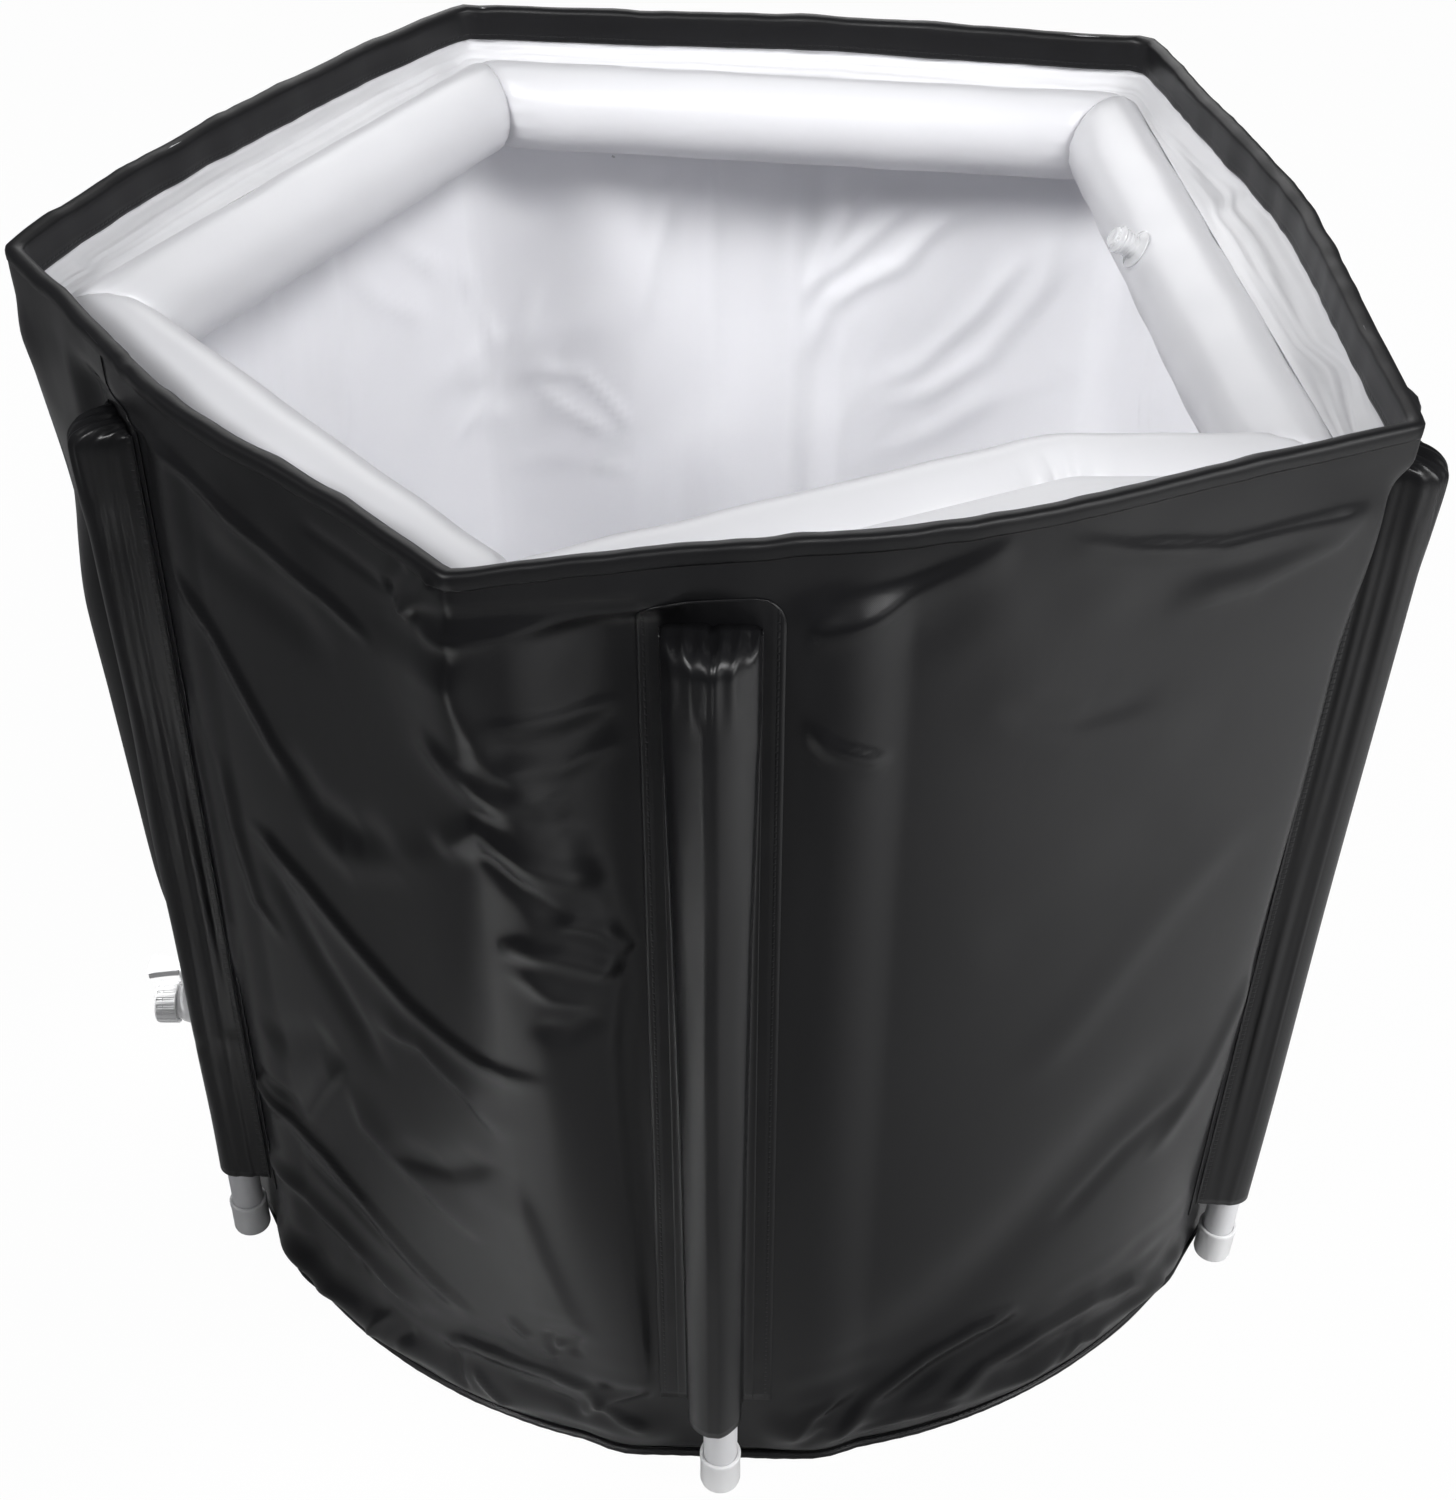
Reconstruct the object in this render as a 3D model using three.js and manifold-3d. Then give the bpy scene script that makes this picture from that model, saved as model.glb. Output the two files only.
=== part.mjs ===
// Portable ice bath tub: a soft round tub held up by six poles, with an inflated ring round its mouth.
// Millimetres, +Z up, origin at the middle of the base's underside. Angles are in degrees, and the
// front of the tub faces -Y.
import * as THREE from 'three';
import { mergeVertices } from 'three/addons/utils/BufferGeometryUtils.js';
import Module from 'manifold-3d';

const wasm = await Module();
wasm.setup();

// Overall sizes
const tubHeight = 698;
const poleCircle = 400;
const poleCount = 6;
const firstPoleAzimuth = -151.6;

// Gaps: between pieces that touch, between sewn layers, and the overrun of every cut
const touchGap = 0.3;
const runningGap = 0.35;
const cutOverrun = 2;

// Poles: plastic pipe with a push-on cap at each end
const pipeDiameter = 21.5;
const pipeWall = 2;
const capDiameter = 26.3;
const capLength = 29;
const capFloor = 3;
const capEdgeRound = 1.5;
const poleSides = 12;
const roundSides = 16;
const arcSteps = 8;

// How far out each pole's top leans, as a share of the pole circle, from the front left pole on round
const poleTopReachShares = [1.005, 1.01, 1.0525, 0.98, 0.975, 0.99];
const poleNames = ['front_left', 'front', 'front_right', 'back_right', 'back', 'back_left'];

// Sleeves and the patches behind them
const sleeveCloth = 1;
const sleeveWidth = 49;
const sleeveHem = 66;
const sleeveDrop = 48;
const patchCloth = 1;
const patchWidth = 70;
const patchFoot = 62;

// Wall: coated outer cloth, foam and inner liner
const shellCloth = 1;
const foamThickness = 4;
const linerCloth = 1;
const hemCloth = 1;
const hemDepth = 20.5;
const gripFadeAngle = 3.3;
const gripMarginAngle = 0.01;
const wallRowShares = [0.17, 0.26, 0.44, 0.61, 0.78];
const widestStepAngle = 13;

// Main folds of the wall cloth: a ridge (or, below zero, a hollow) along a line of points on the wall.
// Each row gives its depth and width as shares of the two below, then [azimuth, share of the height].
const foldDepth = 8;
const foldWidth = 34;
const wallFoldShares = [
  [1.1, 1.2, [-111, 0.93], [-105, 0.78], [-101, 0.62]],
  [0.8, 0.7, [-101, 0.62], [-101, 0.1]],
  [-0.6, 0.9, [-122, 0.9], [-112, 0.72], [-109, 0.6]],
  [0.7, 0.8, [-141, 0.84], [-127, 0.69]],
  [0.6, 0.9, [-138, 0.62], [-121, 0.57], [-110, 0.53]],
  [0.7, 0.9, [-144, 0.66], [-145, 0.5], [-148, 0.36]],
  [0.9, 0.9, [-150, 0.22], [-137, 0.25], [-126, 0.23], [-116, 0.15]],
  [-0.6, 1.2, [-134, 0.4], [-120, 0.36]],
  [-0.8, 1.1, [-79, 0.09], [-65, 0.22], [-50, 0.37]],
  [0.6, 0.8, [-70, 0.07], [-60, 0.11], [-50, 0.09]],
  [0.5, 0.8, [-84, 0.87], [-78, 0.8]],
];
const foldAzimuths = [-138, -130, -122, -101, -79];

// Rim: five corners pushed out by the ring, and the waists between them, as shares of the pole circle
const rimCornerAzimuths = [-108.1, -38.5, 47.3, 118.8, 188.3];
const rimCornerReachShares = [1.1025, 1.085, 1.09, 1.1025, 1.0875];
const rimWaistReachShares = [0.9625, 0.8575, 0.92, 0.9475, 0.975];
const rimCornerSharpnesses = [3, 2.6, 2.6, 2, 3];

// Inflated ring: its corners follow the rim's, and its front tube is kinked inwards
const ringTubeDiameter = 62;
const ringSkin = 1.5;
const ringDrop = 61;
const ringSides = 16;
const ringCornerReachShares = [0.975, 0.93, 0.962, 0.98, 0.968];
const ringNames = ['front', 'right', 'back', 'back_left', 'front_left'];
const kinkAzimuth = -55.6;
const kinkReachShare = 0.7125;
const flangeCloth = 1;
const flangeSeatAngle = 45;

// Base: a round panel with a piped seam, foam and a floor liner above it
const panelCloth = 1.5;
const floorFoam = 4;
const floorLinerCloth = 1;
const pipingDiameter = 5;
const pipingLift = 0.6;
const pipingInset = 2;
const pipingSides = 6;

// Inflation valve on the right ring tube
const valveAlong = 31;
const valveTiltAngle = 30;
const valveBore = 9;
const valveStemDiameter = 15;
const valveStemLength = 11;
const valveNeckDiameter = 13;
const valveNeckDepth = 5;
const valveFlangeDiameter = 25;
const valveFlangeThickness = 1.2;
const valveLipDiameter = 17;
const valveLipHeight = 2;
const flapThickness = 0.8;
const plugPinDepth = 7;
const plugPinTaper = 0.5;
const plugHeadDiameter = 18;
const plugHeadThickness = 2.2;
const plugGripDiameter = 12;
const plugGripHeight = 4;

// Drain tap, low on the left side
const drainAzimuth = 180;
const drainHeight = 40;
const drainBore = 18;
const drainPipeDiameter = 25.4;
const drainFlangeDiameter = 48;
const drainFlangeThickness = 4;
const drainPipeReach = 26;
const gasketThickness = 3;
const gasketDiameter = 44;
const nutAcrossCorners = 44;
const nutThickness = 9;
const nutSides = 6;
const tapBodyDiameter = 34;
const tapBodyLength = 38;
const ballDiameter = 22;
const ballStand = 40;
const ballRows = 10;
const ballWaterway = 16;
const stemDiameter = 8;
const bossDiameter = 17;
const bossHeight = 27;
const stemHeight = 36;
const handleHubDiameter = 20;
const handleBase = 28;
const handleHubHeight = 12;
const handleReach = 32;
const handleWidth = 16;
const handleTipWidth = 22;
const handleThickness = 6;
const outletDiameter = 27;
const outletLength = 16;
const drainCapDiameter = 33;
const drainCapSkirt = 14;
const drainCapEnd = 3.5;
const drainCapChamfer = 1.5;

const radians = (degrees) => THREE.MathUtils.degToRad(degrees);
const degrees = (angle) => THREE.MathUtils.radToDeg(angle);
const cosine = (angle) => Math.cos(radians(angle));
const sine = (angle) => Math.sin(radians(angle));
const wrapped = (azimuth) => THREE.MathUtils.euclideanModulo(azimuth, 360);
const turnBetween = (azimuth, other) => wrapped(azimuth - other + 180) - 180;
const place = (reach, azimuth, height) => (
  new THREE.Vector3(reach * cosine(azimuth), reach * sine(azimuth), height));

// Sizes that follow from the ones above
const capRadius = capDiameter / 2;
const tubeRadius = ringTubeDiameter / 2;
const tunnelRadius = capRadius + runningGap;
const wallStack = tunnelRadius + patchCloth + touchGap;
const wallBuild = shellCloth + foamThickness + linerCloth + 2 * touchGap;
const baseReach = poleCircle - wallStack;
const sleeveTop = tubHeight - sleeveDrop;
const ringHeight = tubHeight - ringDrop;
const wallFoot = pipingLift + pipingDiameter + touchGap;
const wallTop = tubHeight - hemCloth - touchGap;
const hemFoot = tubHeight - hemCloth - hemDepth;
const gripHalf = degrees(sleeveWidth / 2 / baseReach);
const patchHalf = degrees(patchWidth / 2 / baseReach);
const drainHalf = degrees(drainFlangeDiameter / 2 / baseReach);
const lowRow = Math.max(patchFoot, drainHeight + drainFlangeDiameter / 2 + touchGap);

const material = (color, roughness, more = {}) => (
  new THREE.MeshStandardMaterial({ color, roughness, metalness: 0, ...more }));
const blackCloth = material('#1f1f21', 0.45);
const blackTrim = material('#19191b', 0.5);
const foam = material('#c9cacb', 0.9);
const whiteVinyl = material('#e4e4e8', 0.4);
const whitePipe = material('#e2e2e4', 0.45);
const whitePlastic = material('#dededf', 0.4);
const clearVinyl = material('#dfe3e4', 0.15, { transparent: true, opacity: 0.5 });
const rubber = material('#2a2a2b', 0.8);

const tub = new THREE.Group();

function addPiece(name, geometry, finish, parent = tub) {
  const mesh = new THREE.Mesh(geometry, finish);
  mesh.name = name;
  parent.add(mesh);
  return mesh;
}

// Joining and cutting

function toSolid(geometry) {
  const bare = geometry.clone();
  bare.deleteAttribute('normal');
  bare.deleteAttribute('uv');
  const merged = mergeVertices(bare);
  return new wasm.Manifold(new wasm.Mesh({
    numProp: 3,
    vertProperties: new Float32Array(merged.attributes.position.array),
    triVerts: new Uint32Array(merged.index.array),
  }));
}

function toGeometry(solid) {
  const { vertProperties, triVerts } = solid.getMesh();
  const geometry = new THREE.BufferGeometry();
  geometry.setAttribute('position', new THREE.BufferAttribute(vertProperties, 3));
  geometry.setIndex(new THREE.BufferAttribute(triVerts, 1));
  return geometry;
}

const joined = (first, second) => toGeometry(toSolid(first).add(toSolid(second)));
const cut = (first, second) => toGeometry(toSolid(first).subtract(toSolid(second)));

function faceted(points, faces) {
  const geometry = new THREE.BufferGeometry();
  const values = points.flatMap((point) => point.toArray());
  geometry.setAttribute('position', new THREE.Float32BufferAttribute(values, 3));
  geometry.setIndex(faces.flat());
  return geometry;
}

// A solid turned about the local Z axis from [radius, height] pairs; a closed profile leaves a bore
function turned(profile, sides = roundSides, closed = false) {
  const points = profile.map(([radius, height]) => new THREE.Vector2(radius, height));
  if (closed) {
    points.push(points[0].clone());
  }
  const geometry = new THREE.LatheGeometry(points, sides);
  geometry.rotateX(radians(90));
  return geometry;
}

function rod(radius, from, to, sides = roundSides) {
  return turned([[0, from], [radius, from], [radius, to], [0, to]], sides);
}

// A flat outline given its height along the local Z axis
function raised(shape, from, to) {
  const geometry = new THREE.ExtrudeGeometry(shape, {
    depth: to - from, bevelEnabled: false, curveSegments: arcSteps,
  });
  geometry.translate(0, 0, from);
  return geometry;
}

// Poles

class Pole {
  constructor(index) {
    this.name = poleNames[index];
    this.azimuth = firstPoleAzimuth + index * 360 / poleCount;
    this.lean = Math.atan2(poleCircle * (poleTopReachShares[index] - 1), sleeveTop);
    this.footLift = capRadius * Math.sin(Math.abs(this.lean));
  }

  // Reach of the wall where it lies behind this pole
  wallLine(height) {
    return poleCircle + Math.tan(this.lean) * (height - this.footLift) - wallStack / Math.cos(this.lean);
  }

  // Length from the foot to the inside of the sleeve's closed top
  get length() {
    return sleeveTop / Math.cos(this.lean) - sleeveCloth - touchGap;
  }

  group() {
    const turnedOut = new THREE.Group();
    turnedOut.position.copy(place(poleCircle, this.azimuth, this.footLift));
    turnedOut.rotation.z = radians(this.azimuth);
    const leaning = new THREE.Group();
    leaning.rotation.y = this.lean;
    turnedOut.add(leaning);
    tub.add(turnedOut);
    return leaning;
  }
}

const poles = poleNames.map((name, index) => new Pole(index));

// Wall surface

function sideOf(azimuth) {
  const turnFrom = (index) => wrapped(azimuth - rimCornerAzimuths[index]);
  const side = rimCornerAzimuths.map((corner, index) => index)
    .reduce((best, index) => (turnFrom(index) < turnFrom(best) ? index : best));
  const next = (side + 1) % rimCornerAzimuths.length;
  const width = wrapped(rimCornerAzimuths[next] - rimCornerAzimuths[side]);
  return { side, next, along: turnFrom(side) / width };
}

function rimReach(azimuth) {
  const { side, next, along } = sideOf(azimuth);
  const corner = THREE.MathUtils.lerp(rimCornerReachShares[side], rimCornerReachShares[next], along);
  const waist = rimWaistReachShares[side];
  const push = Math.pow(Math.abs(2 * along - 1), rimCornerSharpnesses[side]);
  return poleCircle * THREE.MathUtils.lerp(waist, corner, push);
}

// How far the folds push the loose cloth out at a point, fading to 0 at the foot and under the hem
function foldPush(azimuth, height) {
  const here = new THREE.Vector3();
  const held = THREE.MathUtils.smoothstep(height, wallFoot, lowRow);
  const loose = held * (1 - THREE.MathUtils.smoothstep(height, sleeveTop, wallTop));
  return wallFoldShares.reduce((push, [depthShare, widthShare, ...stops]) => {
    const points = stops.map(([turn, share]) => new THREE.Vector3(
      radians(turnBetween(turn, azimuth)) * poleCircle, share * tubHeight - height, 0));
    const distances = points.slice(1).map((point, i) => (
      new THREE.Line3(points[i], point).closestPointToPoint(here, true, new THREE.Vector3()).length()));
    const fade = Math.min(...distances) / (foldWidth * widthShare);
    return push + loose * foldDepth * depthShare * Math.exp(-fade * fade);
  }, 0);
}

// 1 where a pole's sleeve holds the wall, fading to 0 beside the sleeve and above it
function grip(pole, azimuth, height) {
  const beside = Math.abs(turnBetween(azimuth, pole.azimuth));
  const edge = gripHalf + gripMarginAngle;
  const sideways = 1 - THREE.MathUtils.smoothstep(beside, edge, gripHalf + gripFadeAngle);
  const upwards = THREE.MathUtils.clamp((wallTop - height) / (wallTop - sleeveTop), 0, 1);
  return sideways * upwards;
}

// 1 where the drain fitting clamps the wall flat, fading to 0 beside it and above it
function drainGrip(azimuth, height) {
  const beside = Math.abs(turnBetween(azimuth, drainAzimuth));
  const edge = drainHalf + gripMarginAngle;
  const sideways = 1 - THREE.MathUtils.smoothstep(beside, edge, drainHalf + gripFadeAngle);
  const upwards = 1 - THREE.MathUtils.smoothstep(height, lowRow, tubHeight * wallRowShares[0]);
  return sideways * upwards;
}

function wallReach(azimuth, height) {
  const rise = Math.sin(Math.PI / 2 * Math.min(1, height / tubHeight));
  const free = THREE.MathUtils.lerp(baseReach, rimReach(azimuth), rise) + foldPush(azimuth, height);
  const held = poles.reduce((reach, pole) => (
    THREE.MathUtils.lerp(reach, pole.wallLine(height), grip(pole, azimuth, height))), free);
  const flat = baseReach / cosine(turnBetween(azimuth, drainAzimuth));
  return THREE.MathUtils.lerp(held, flat, drainGrip(azimuth, height));
}

// Azimuths at which the wall is sampled: sleeves, patches, corners, kink, folds and drain, then even
// steps
function sampleAzimuths() {
  const offsets = [-patchHalf, -gripHalf, 0, gripHalf, patchHalf];
  const fixed = poles.flatMap((pole) => offsets.map((offset) => wrapped(pole.azimuth + offset)));
  fixed.push(...rimCornerAzimuths.map(wrapped), ...foldAzimuths.map(wrapped), wrapped(kinkAzimuth));
  fixed.push(...[-drainHalf, 0, drainHalf].map((offset) => wrapped(drainAzimuth + offset)));
  fixed.sort((a, b) => a - b);
  return fixed.flatMap((azimuth, index) => {
    const width = wrapped(fixed[(index + 1) % fixed.length] - azimuth);
    const steps = Math.ceil(width / widestStepAngle);
    return Array.from({ length: steps }, (_, step) => wrapped(azimuth + width * step / steps));
  }).sort((a, b) => a - b);
}

const azimuths = sampleAzimuths();
const rowHeights = [
  wallFoot, lowRow, ...wallRowShares.map((share) => share * tubHeight),
  sleeveTop, hemFoot, wallTop,
];

// Reach of the faceted wall at a sampled azimuth: straight between the rows
function sampledReach(azimuth, height) {
  const above = rowHeights.findIndex((row) => row >= height);
  const upper = above < 0 ? rowHeights.length - 1 : Math.max(1, above);
  const [low, high] = [rowHeights[upper - 1], rowHeights[upper]];
  const share = (height - low) / (high - low);
  return THREE.MathUtils.lerp(wallReach(azimuth, low), wallReach(azimuth, high), share);
}

// A closed band round the tub; profileAt gives each azimuth's [reach, height] loop, anticlockwise.
// Its four-sided faces are all split along the same slope, so that bands side by side stay apart.
function band(profileAt) {
  const loops = azimuths.map((azimuth) => (
    profileAt(azimuth).map(([reach, height]) => place(reach, azimuth, height))));
  const width = loops[0].length;
  const faces = [];
  loops.forEach((loop, i) => {
    const here = i * width;
    const there = ((i + 1) % loops.length) * width;
    loop.forEach((point, j) => {
      const on = (j + 1) % width;
      if (loop[on].z >= point.z) {
        faces.push([here + j, there + j, there + on], [here + j, there + on, here + on]);
      } else {
        faces.push([here + j, there + j, here + on], [there + j, there + on, here + on]);
      }
    });
  });
  return faceted(loops.flat(), faces);
}

// A wall layer between two depths behind the outer surface
function wallLayer(near, far, foot, top) {
  const rows = rowHeights.map((row, i) => {
    const lifted = i === 0 ? foot : row;
    return i === rowHeights.length - 1 ? top : lifted;
  });
  return band((azimuth) => [
    ...rows.map((row) => [sampledReach(azimuth, row) - near, row]),
    ...[...rows].reverse().map((row) => [sampledReach(azimuth, row) - far, row]),
  ]);
}

// A flat plate with the wall's own outline at the base, drawn in by an inset
function basePlate(inset, bottom, top) {
  const outline = azimuths.map((azimuth) => {
    const point = place(sampledReach(azimuth, wallFoot) - inset, azimuth, bottom);
    return new THREE.Vector2(point.x, point.y);
  });
  return raised(new THREE.Shape(outline), bottom, top);
}

// Drain hole, cut through every layer of the wall

const drainSeat = sampledReach(drainAzimuth, drainHeight);

function drainGroup() {
  const group = new THREE.Group();
  group.position.copy(place(drainSeat, drainAzimuth, drainHeight));
  group.rotation.set(0, radians(90), radians(drainAzimuth), 'ZYX');
  tub.add(group);
  group.updateMatrixWorld(true);
  return group;
}

const drain = drainGroup();
const drainHole = rod(drainPipeDiameter / 2 + 2 * touchGap, -wallBuild - cutOverrun * 2, cutOverrun * 2);
drainHole.applyMatrix4(drain.matrixWorld);

function buildWall() {
  const shell = wallLayer(0, shellCloth, wallFoot, wallTop);
  addPiece('outer_shell', cut(shell, drainHole), blackCloth);

  const foamFace = shellCloth + touchGap;
  const foamLayer = wallLayer(foamFace, foamFace + foamThickness, wallFoot + touchGap, wallTop);
  addPiece('wall_insulation', cut(foamLayer, drainHole), foam);

  const linerFace = foamFace + foamThickness + touchGap;
  const liner = wallLayer(linerFace, wallBuild, wallFoot + touchGap, wallTop);
  addPiece('wall_liner', cut(liner, drainHole), whiteVinyl);

  const legFace = wallBuild + touchGap;
  addPiece('rim_hem', band((azimuth) => {
    const foot = hemFoot + touchGap;
    const low = sampledReach(azimuth, foot);
    const high = sampledReach(azimuth, wallTop);
    return [
      [low - legFace - hemCloth, foot], [low - legFace, foot], [high - legFace, tubHeight - hemCloth],
      [high, tubHeight - hemCloth], [high, tubHeight], [high - legFace - hemCloth, tubHeight],
    ];
  }), blackTrim);
}

function buildBase() {
  const pipingRadius = pipingDiameter / 2;
  const pipingHeight = pipingLift + pipingRadius;
  addPiece('base_piping', band((azimuth) => {
    const middle = sampledReach(azimuth, wallFoot) - pipingInset;
    return Array.from({ length: pipingSides }, (_, i) => [
      middle + pipingRadius * cosine(i * 360 / pipingSides),
      pipingHeight + pipingRadius * sine(i * 360 / pipingSides),
    ]);
  }), blackTrim);

  const insidePiping = pipingInset + pipingRadius + touchGap;
  addPiece('base_panel', basePlate(insidePiping, 0, panelCloth), blackCloth);

  const foamBottom = panelCloth + touchGap;
  const foamInset = Math.max(insidePiping, shellCloth + foamThickness + 2 * touchGap);
  addPiece('floor_insulation', basePlate(foamInset, foamBottom, foamBottom + floorFoam), foam);

  const linerBottom = foamBottom + floorFoam + touchGap;
  const linerInset = wallBuild + touchGap;
  addPiece('floor_liner', basePlate(linerInset, linerBottom, linerBottom + floorLinerCloth), whiteVinyl);
}

// Inflated ring

const ringCorners = rimCornerAzimuths.map((azimuth, i) => (
  place(poleCircle * ringCornerReachShares[i], azimuth, ringHeight)));
const kink = place(poleCircle * kinkReachShare, kinkAzimuth, ringHeight);
const ringRuns = ringCorners.map((corner, i) => {
  const next = ringCorners[(i + 1) % ringCorners.length];
  return i === 0 ? [corner, kink, next] : [corner, next];
});

const direction = (from, to) => to.clone().sub(from).normalize();
const outwards = (along) => new THREE.Vector3(along.y, -along.x, 0);

// A hollow tube along level points, cut at its ends by the mitre planes it shares with its neighbours
function mitredTube(points, before, after) {
  const runs = points.slice(1).map((point, i) => direction(points[i], point));
  const into = [direction(before, points[0]), ...runs];
  const outOf = [...runs, direction(points.at(-1), after)];
  const last = points.length - 1;
  const stations = points.map((point, i) => {
    const along = runs[Math.min(i, last - 1)];
    const plane = into[i].clone().add(outOf[i]).normalize();
    const back = Math.sign(last / 2 - i) * (i === 0 || i === last);
    const middle = point.clone().addScaledVector(along, back * touchGap / 2 / along.dot(plane));
    const side = outwards(along);
    return (radius, turn) => {
      const spoke = side.clone().multiplyScalar(radius * cosine(turn));
      spoke.z = radius * sine(turn);
      return middle.clone().add(spoke).addScaledVector(along, -spoke.dot(plane) / along.dot(plane));
    };
  });
  const circle = Array.from({ length: ringSides }, (_, k) => k * 360 / ringSides);
  const radii = [tubeRadius, tubeRadius - ringSkin];
  const loops = [
    ...stations.map((station) => circle.map((turn) => station(radii[0], turn))),
    ...[...stations].reverse().map((station) => circle.map((turn) => station(radii[1], turn))),
  ];
  const faces = loops.flatMap((loop, i) => {
    const here = i * ringSides;
    const there = ((i + 1) % loops.length) * ringSides;
    return circle.flatMap((turn, k) => {
      const on = (k + 1) % ringSides;
      return [[here + k, there + k, there + on], [here + k, there + on, here + on]];
    });
  });
  return faceted(loops.flat(), faces);
}

// Reach of a line beside a ring run, where an azimuth crosses it
function reachBeside(from, to, offset, azimuth) {
  const normal = outwards(direction(from, to));
  return (normal.dot(from) + offset) / normal.dot(place(1, azimuth, 0));
}

// Reach of the flange's seat on the ring's shoulder; where two runs meet the larger one counts
function flangeSeat(azimuth) {
  const offset = (tubeRadius + touchGap) * cosine(flangeSeatAngle);
  const spans = ringRuns.flatMap((run) => run.slice(1).map((point, i) => [run[i], point]));
  const azimuthOf = (point) => degrees(Math.atan2(point.y, point.x));
  const slack = 1e-6;
  const reaches = spans.filter(([from, to]) => {
    const width = wrapped(azimuthOf(to) - azimuthOf(from));
    return wrapped(azimuth - azimuthOf(from) + slack) <= width + 2 * slack;
  }).map(([from, to]) => reachBeside(from, to, offset, azimuth));
  return Math.max(...reaches);
}

const rightRun = ringRuns[1];
const rightAlong = direction(rightRun[0], rightRun[1]);

function valveGroup() {
  const normal = outwards(rightAlong);
  const middle = rightRun[0].clone().addScaledVector(rightAlong, -rightAlong.dot(rightRun[0]) + valveAlong);
  const group = new THREE.Group();
  const azimuth = Math.atan2(normal.y, normal.x) + Math.PI;
  group.rotation.set(0, radians(90 - valveTiltAngle), azimuth, 'ZYX');
  const outward = new THREE.Vector3(0, 0, 1).applyEuler(group.rotation);
  group.position.copy(middle).addScaledVector(outward, tubeRadius);
  tub.add(group);
  group.updateMatrixWorld(true);
  return group;
}

const valve = valveGroup();

function buildRing() {
  const valveHole = rod(valveNeckDiameter / 2 + touchGap * 2, -valveNeckDepth - cutOverrun, cutOverrun);
  valveHole.applyMatrix4(valve.matrixWorld);
  ringRuns.forEach((run, i) => {
    const before = ringRuns.at(i - 1).at(-2);
    const after = ringRuns[(i + 1) % ringRuns.length][1];
    const tube = mitredTube(run, before, after);
    const whole = run === rightRun ? cut(tube, valveHole) : tube;
    addPiece(`ring_tube_${ringNames[i]}`, whole, whiteVinyl);
  });

  const seatHeight = ringHeight + (tubeRadius + touchGap) * sine(flangeSeatAngle);
  addPiece('ring_flange', band((azimuth) => {
    const top = sampledReach(azimuth, hemFoot) - wallBuild - touchGap;
    const seat = flangeSeat(azimuth);
    return [
      [seat, seatHeight], [seat + flangeCloth, seatHeight],
      [top, hemFoot], [top - flangeCloth, hemFoot],
    ];
  }), whiteVinyl);
}

// Inflation valve: a clear stem with a plug that pulls out and a flap that shuts behind it

function buildValve() {
  const bore = valveBore / 2;
  const neck = valveNeckDiameter / 2;
  const stem = valveStemDiameter / 2;
  const flange = valveFlangeDiameter / 2;
  const lip = valveLipDiameter / 2;
  const flangeFace = touchGap + valveFlangeThickness;
  addPiece('valve_stem', turned([
    [bore, -valveNeckDepth], [neck, -valveNeckDepth], [neck, touchGap], [flange, touchGap],
    [flange, flangeFace], [stem, flangeFace + valveFlangeThickness], [stem, valveStemLength],
    [lip, valveStemLength], [lip, valveStemLength + valveLipHeight], [bore, valveStemLength + valveLipHeight],
  ], roundSides, true), clearVinyl, valve);

  const flapTop = -valveNeckDepth - touchGap;
  addPiece('valve_flap', rod(neck, flapTop - flapThickness, flapTop), clearVinyl, valve);

  const seat = valveStemLength + valveLipHeight + touchGap;
  const pin = bore - touchGap;
  const head = plugHeadDiameter / 2;
  const grip = plugGripDiameter / 2;
  addPiece('valve_plug', turned([
    [0, seat - plugPinDepth], [pin - plugPinTaper, seat - plugPinDepth], [pin, seat], [head, seat],
    [head, seat + plugHeadThickness], [grip, seat + plugHeadThickness],
    [grip, seat + plugHeadThickness + plugGripHeight], [0, seat + plugHeadThickness + plugGripHeight],
  ]), clearVinyl, valve);
}

// Sleeves, patches and poles

function sleeveSection() {
  const back = touchGap - tunnelRadius;
  const outer = tunnelRadius + sleeveCloth;
  const half = sleeveWidth / 2;
  const section = new THREE.Shape();
  section.moveTo(back, -half);
  section.lineTo(back + sleeveCloth, -half);
  section.lineTo(back + sleeveCloth, -outer);
  section.lineTo(0, -outer);
  section.absarc(0, 0, outer, radians(-90), radians(90), false);
  section.lineTo(back + sleeveCloth, outer);
  section.lineTo(back + sleeveCloth, half);
  section.lineTo(back, half);
  section.lineTo(back, tunnelRadius);
  section.lineTo(0, tunnelRadius);
  section.absarc(0, 0, tunnelRadius, radians(90), radians(-90), true);
  section.lineTo(back, -tunnelRadius);
  section.closePath();
  return section;
}

function sleeveLid() {
  const back = touchGap - tunnelRadius;
  const outer = tunnelRadius + sleeveCloth;
  const lid = new THREE.Shape();
  lid.moveTo(back, -outer);
  lid.lineTo(0, -outer);
  lid.absarc(0, 0, outer, radians(-90), radians(90), false);
  lid.lineTo(back, outer);
  lid.closePath();
  return lid;
}

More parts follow.
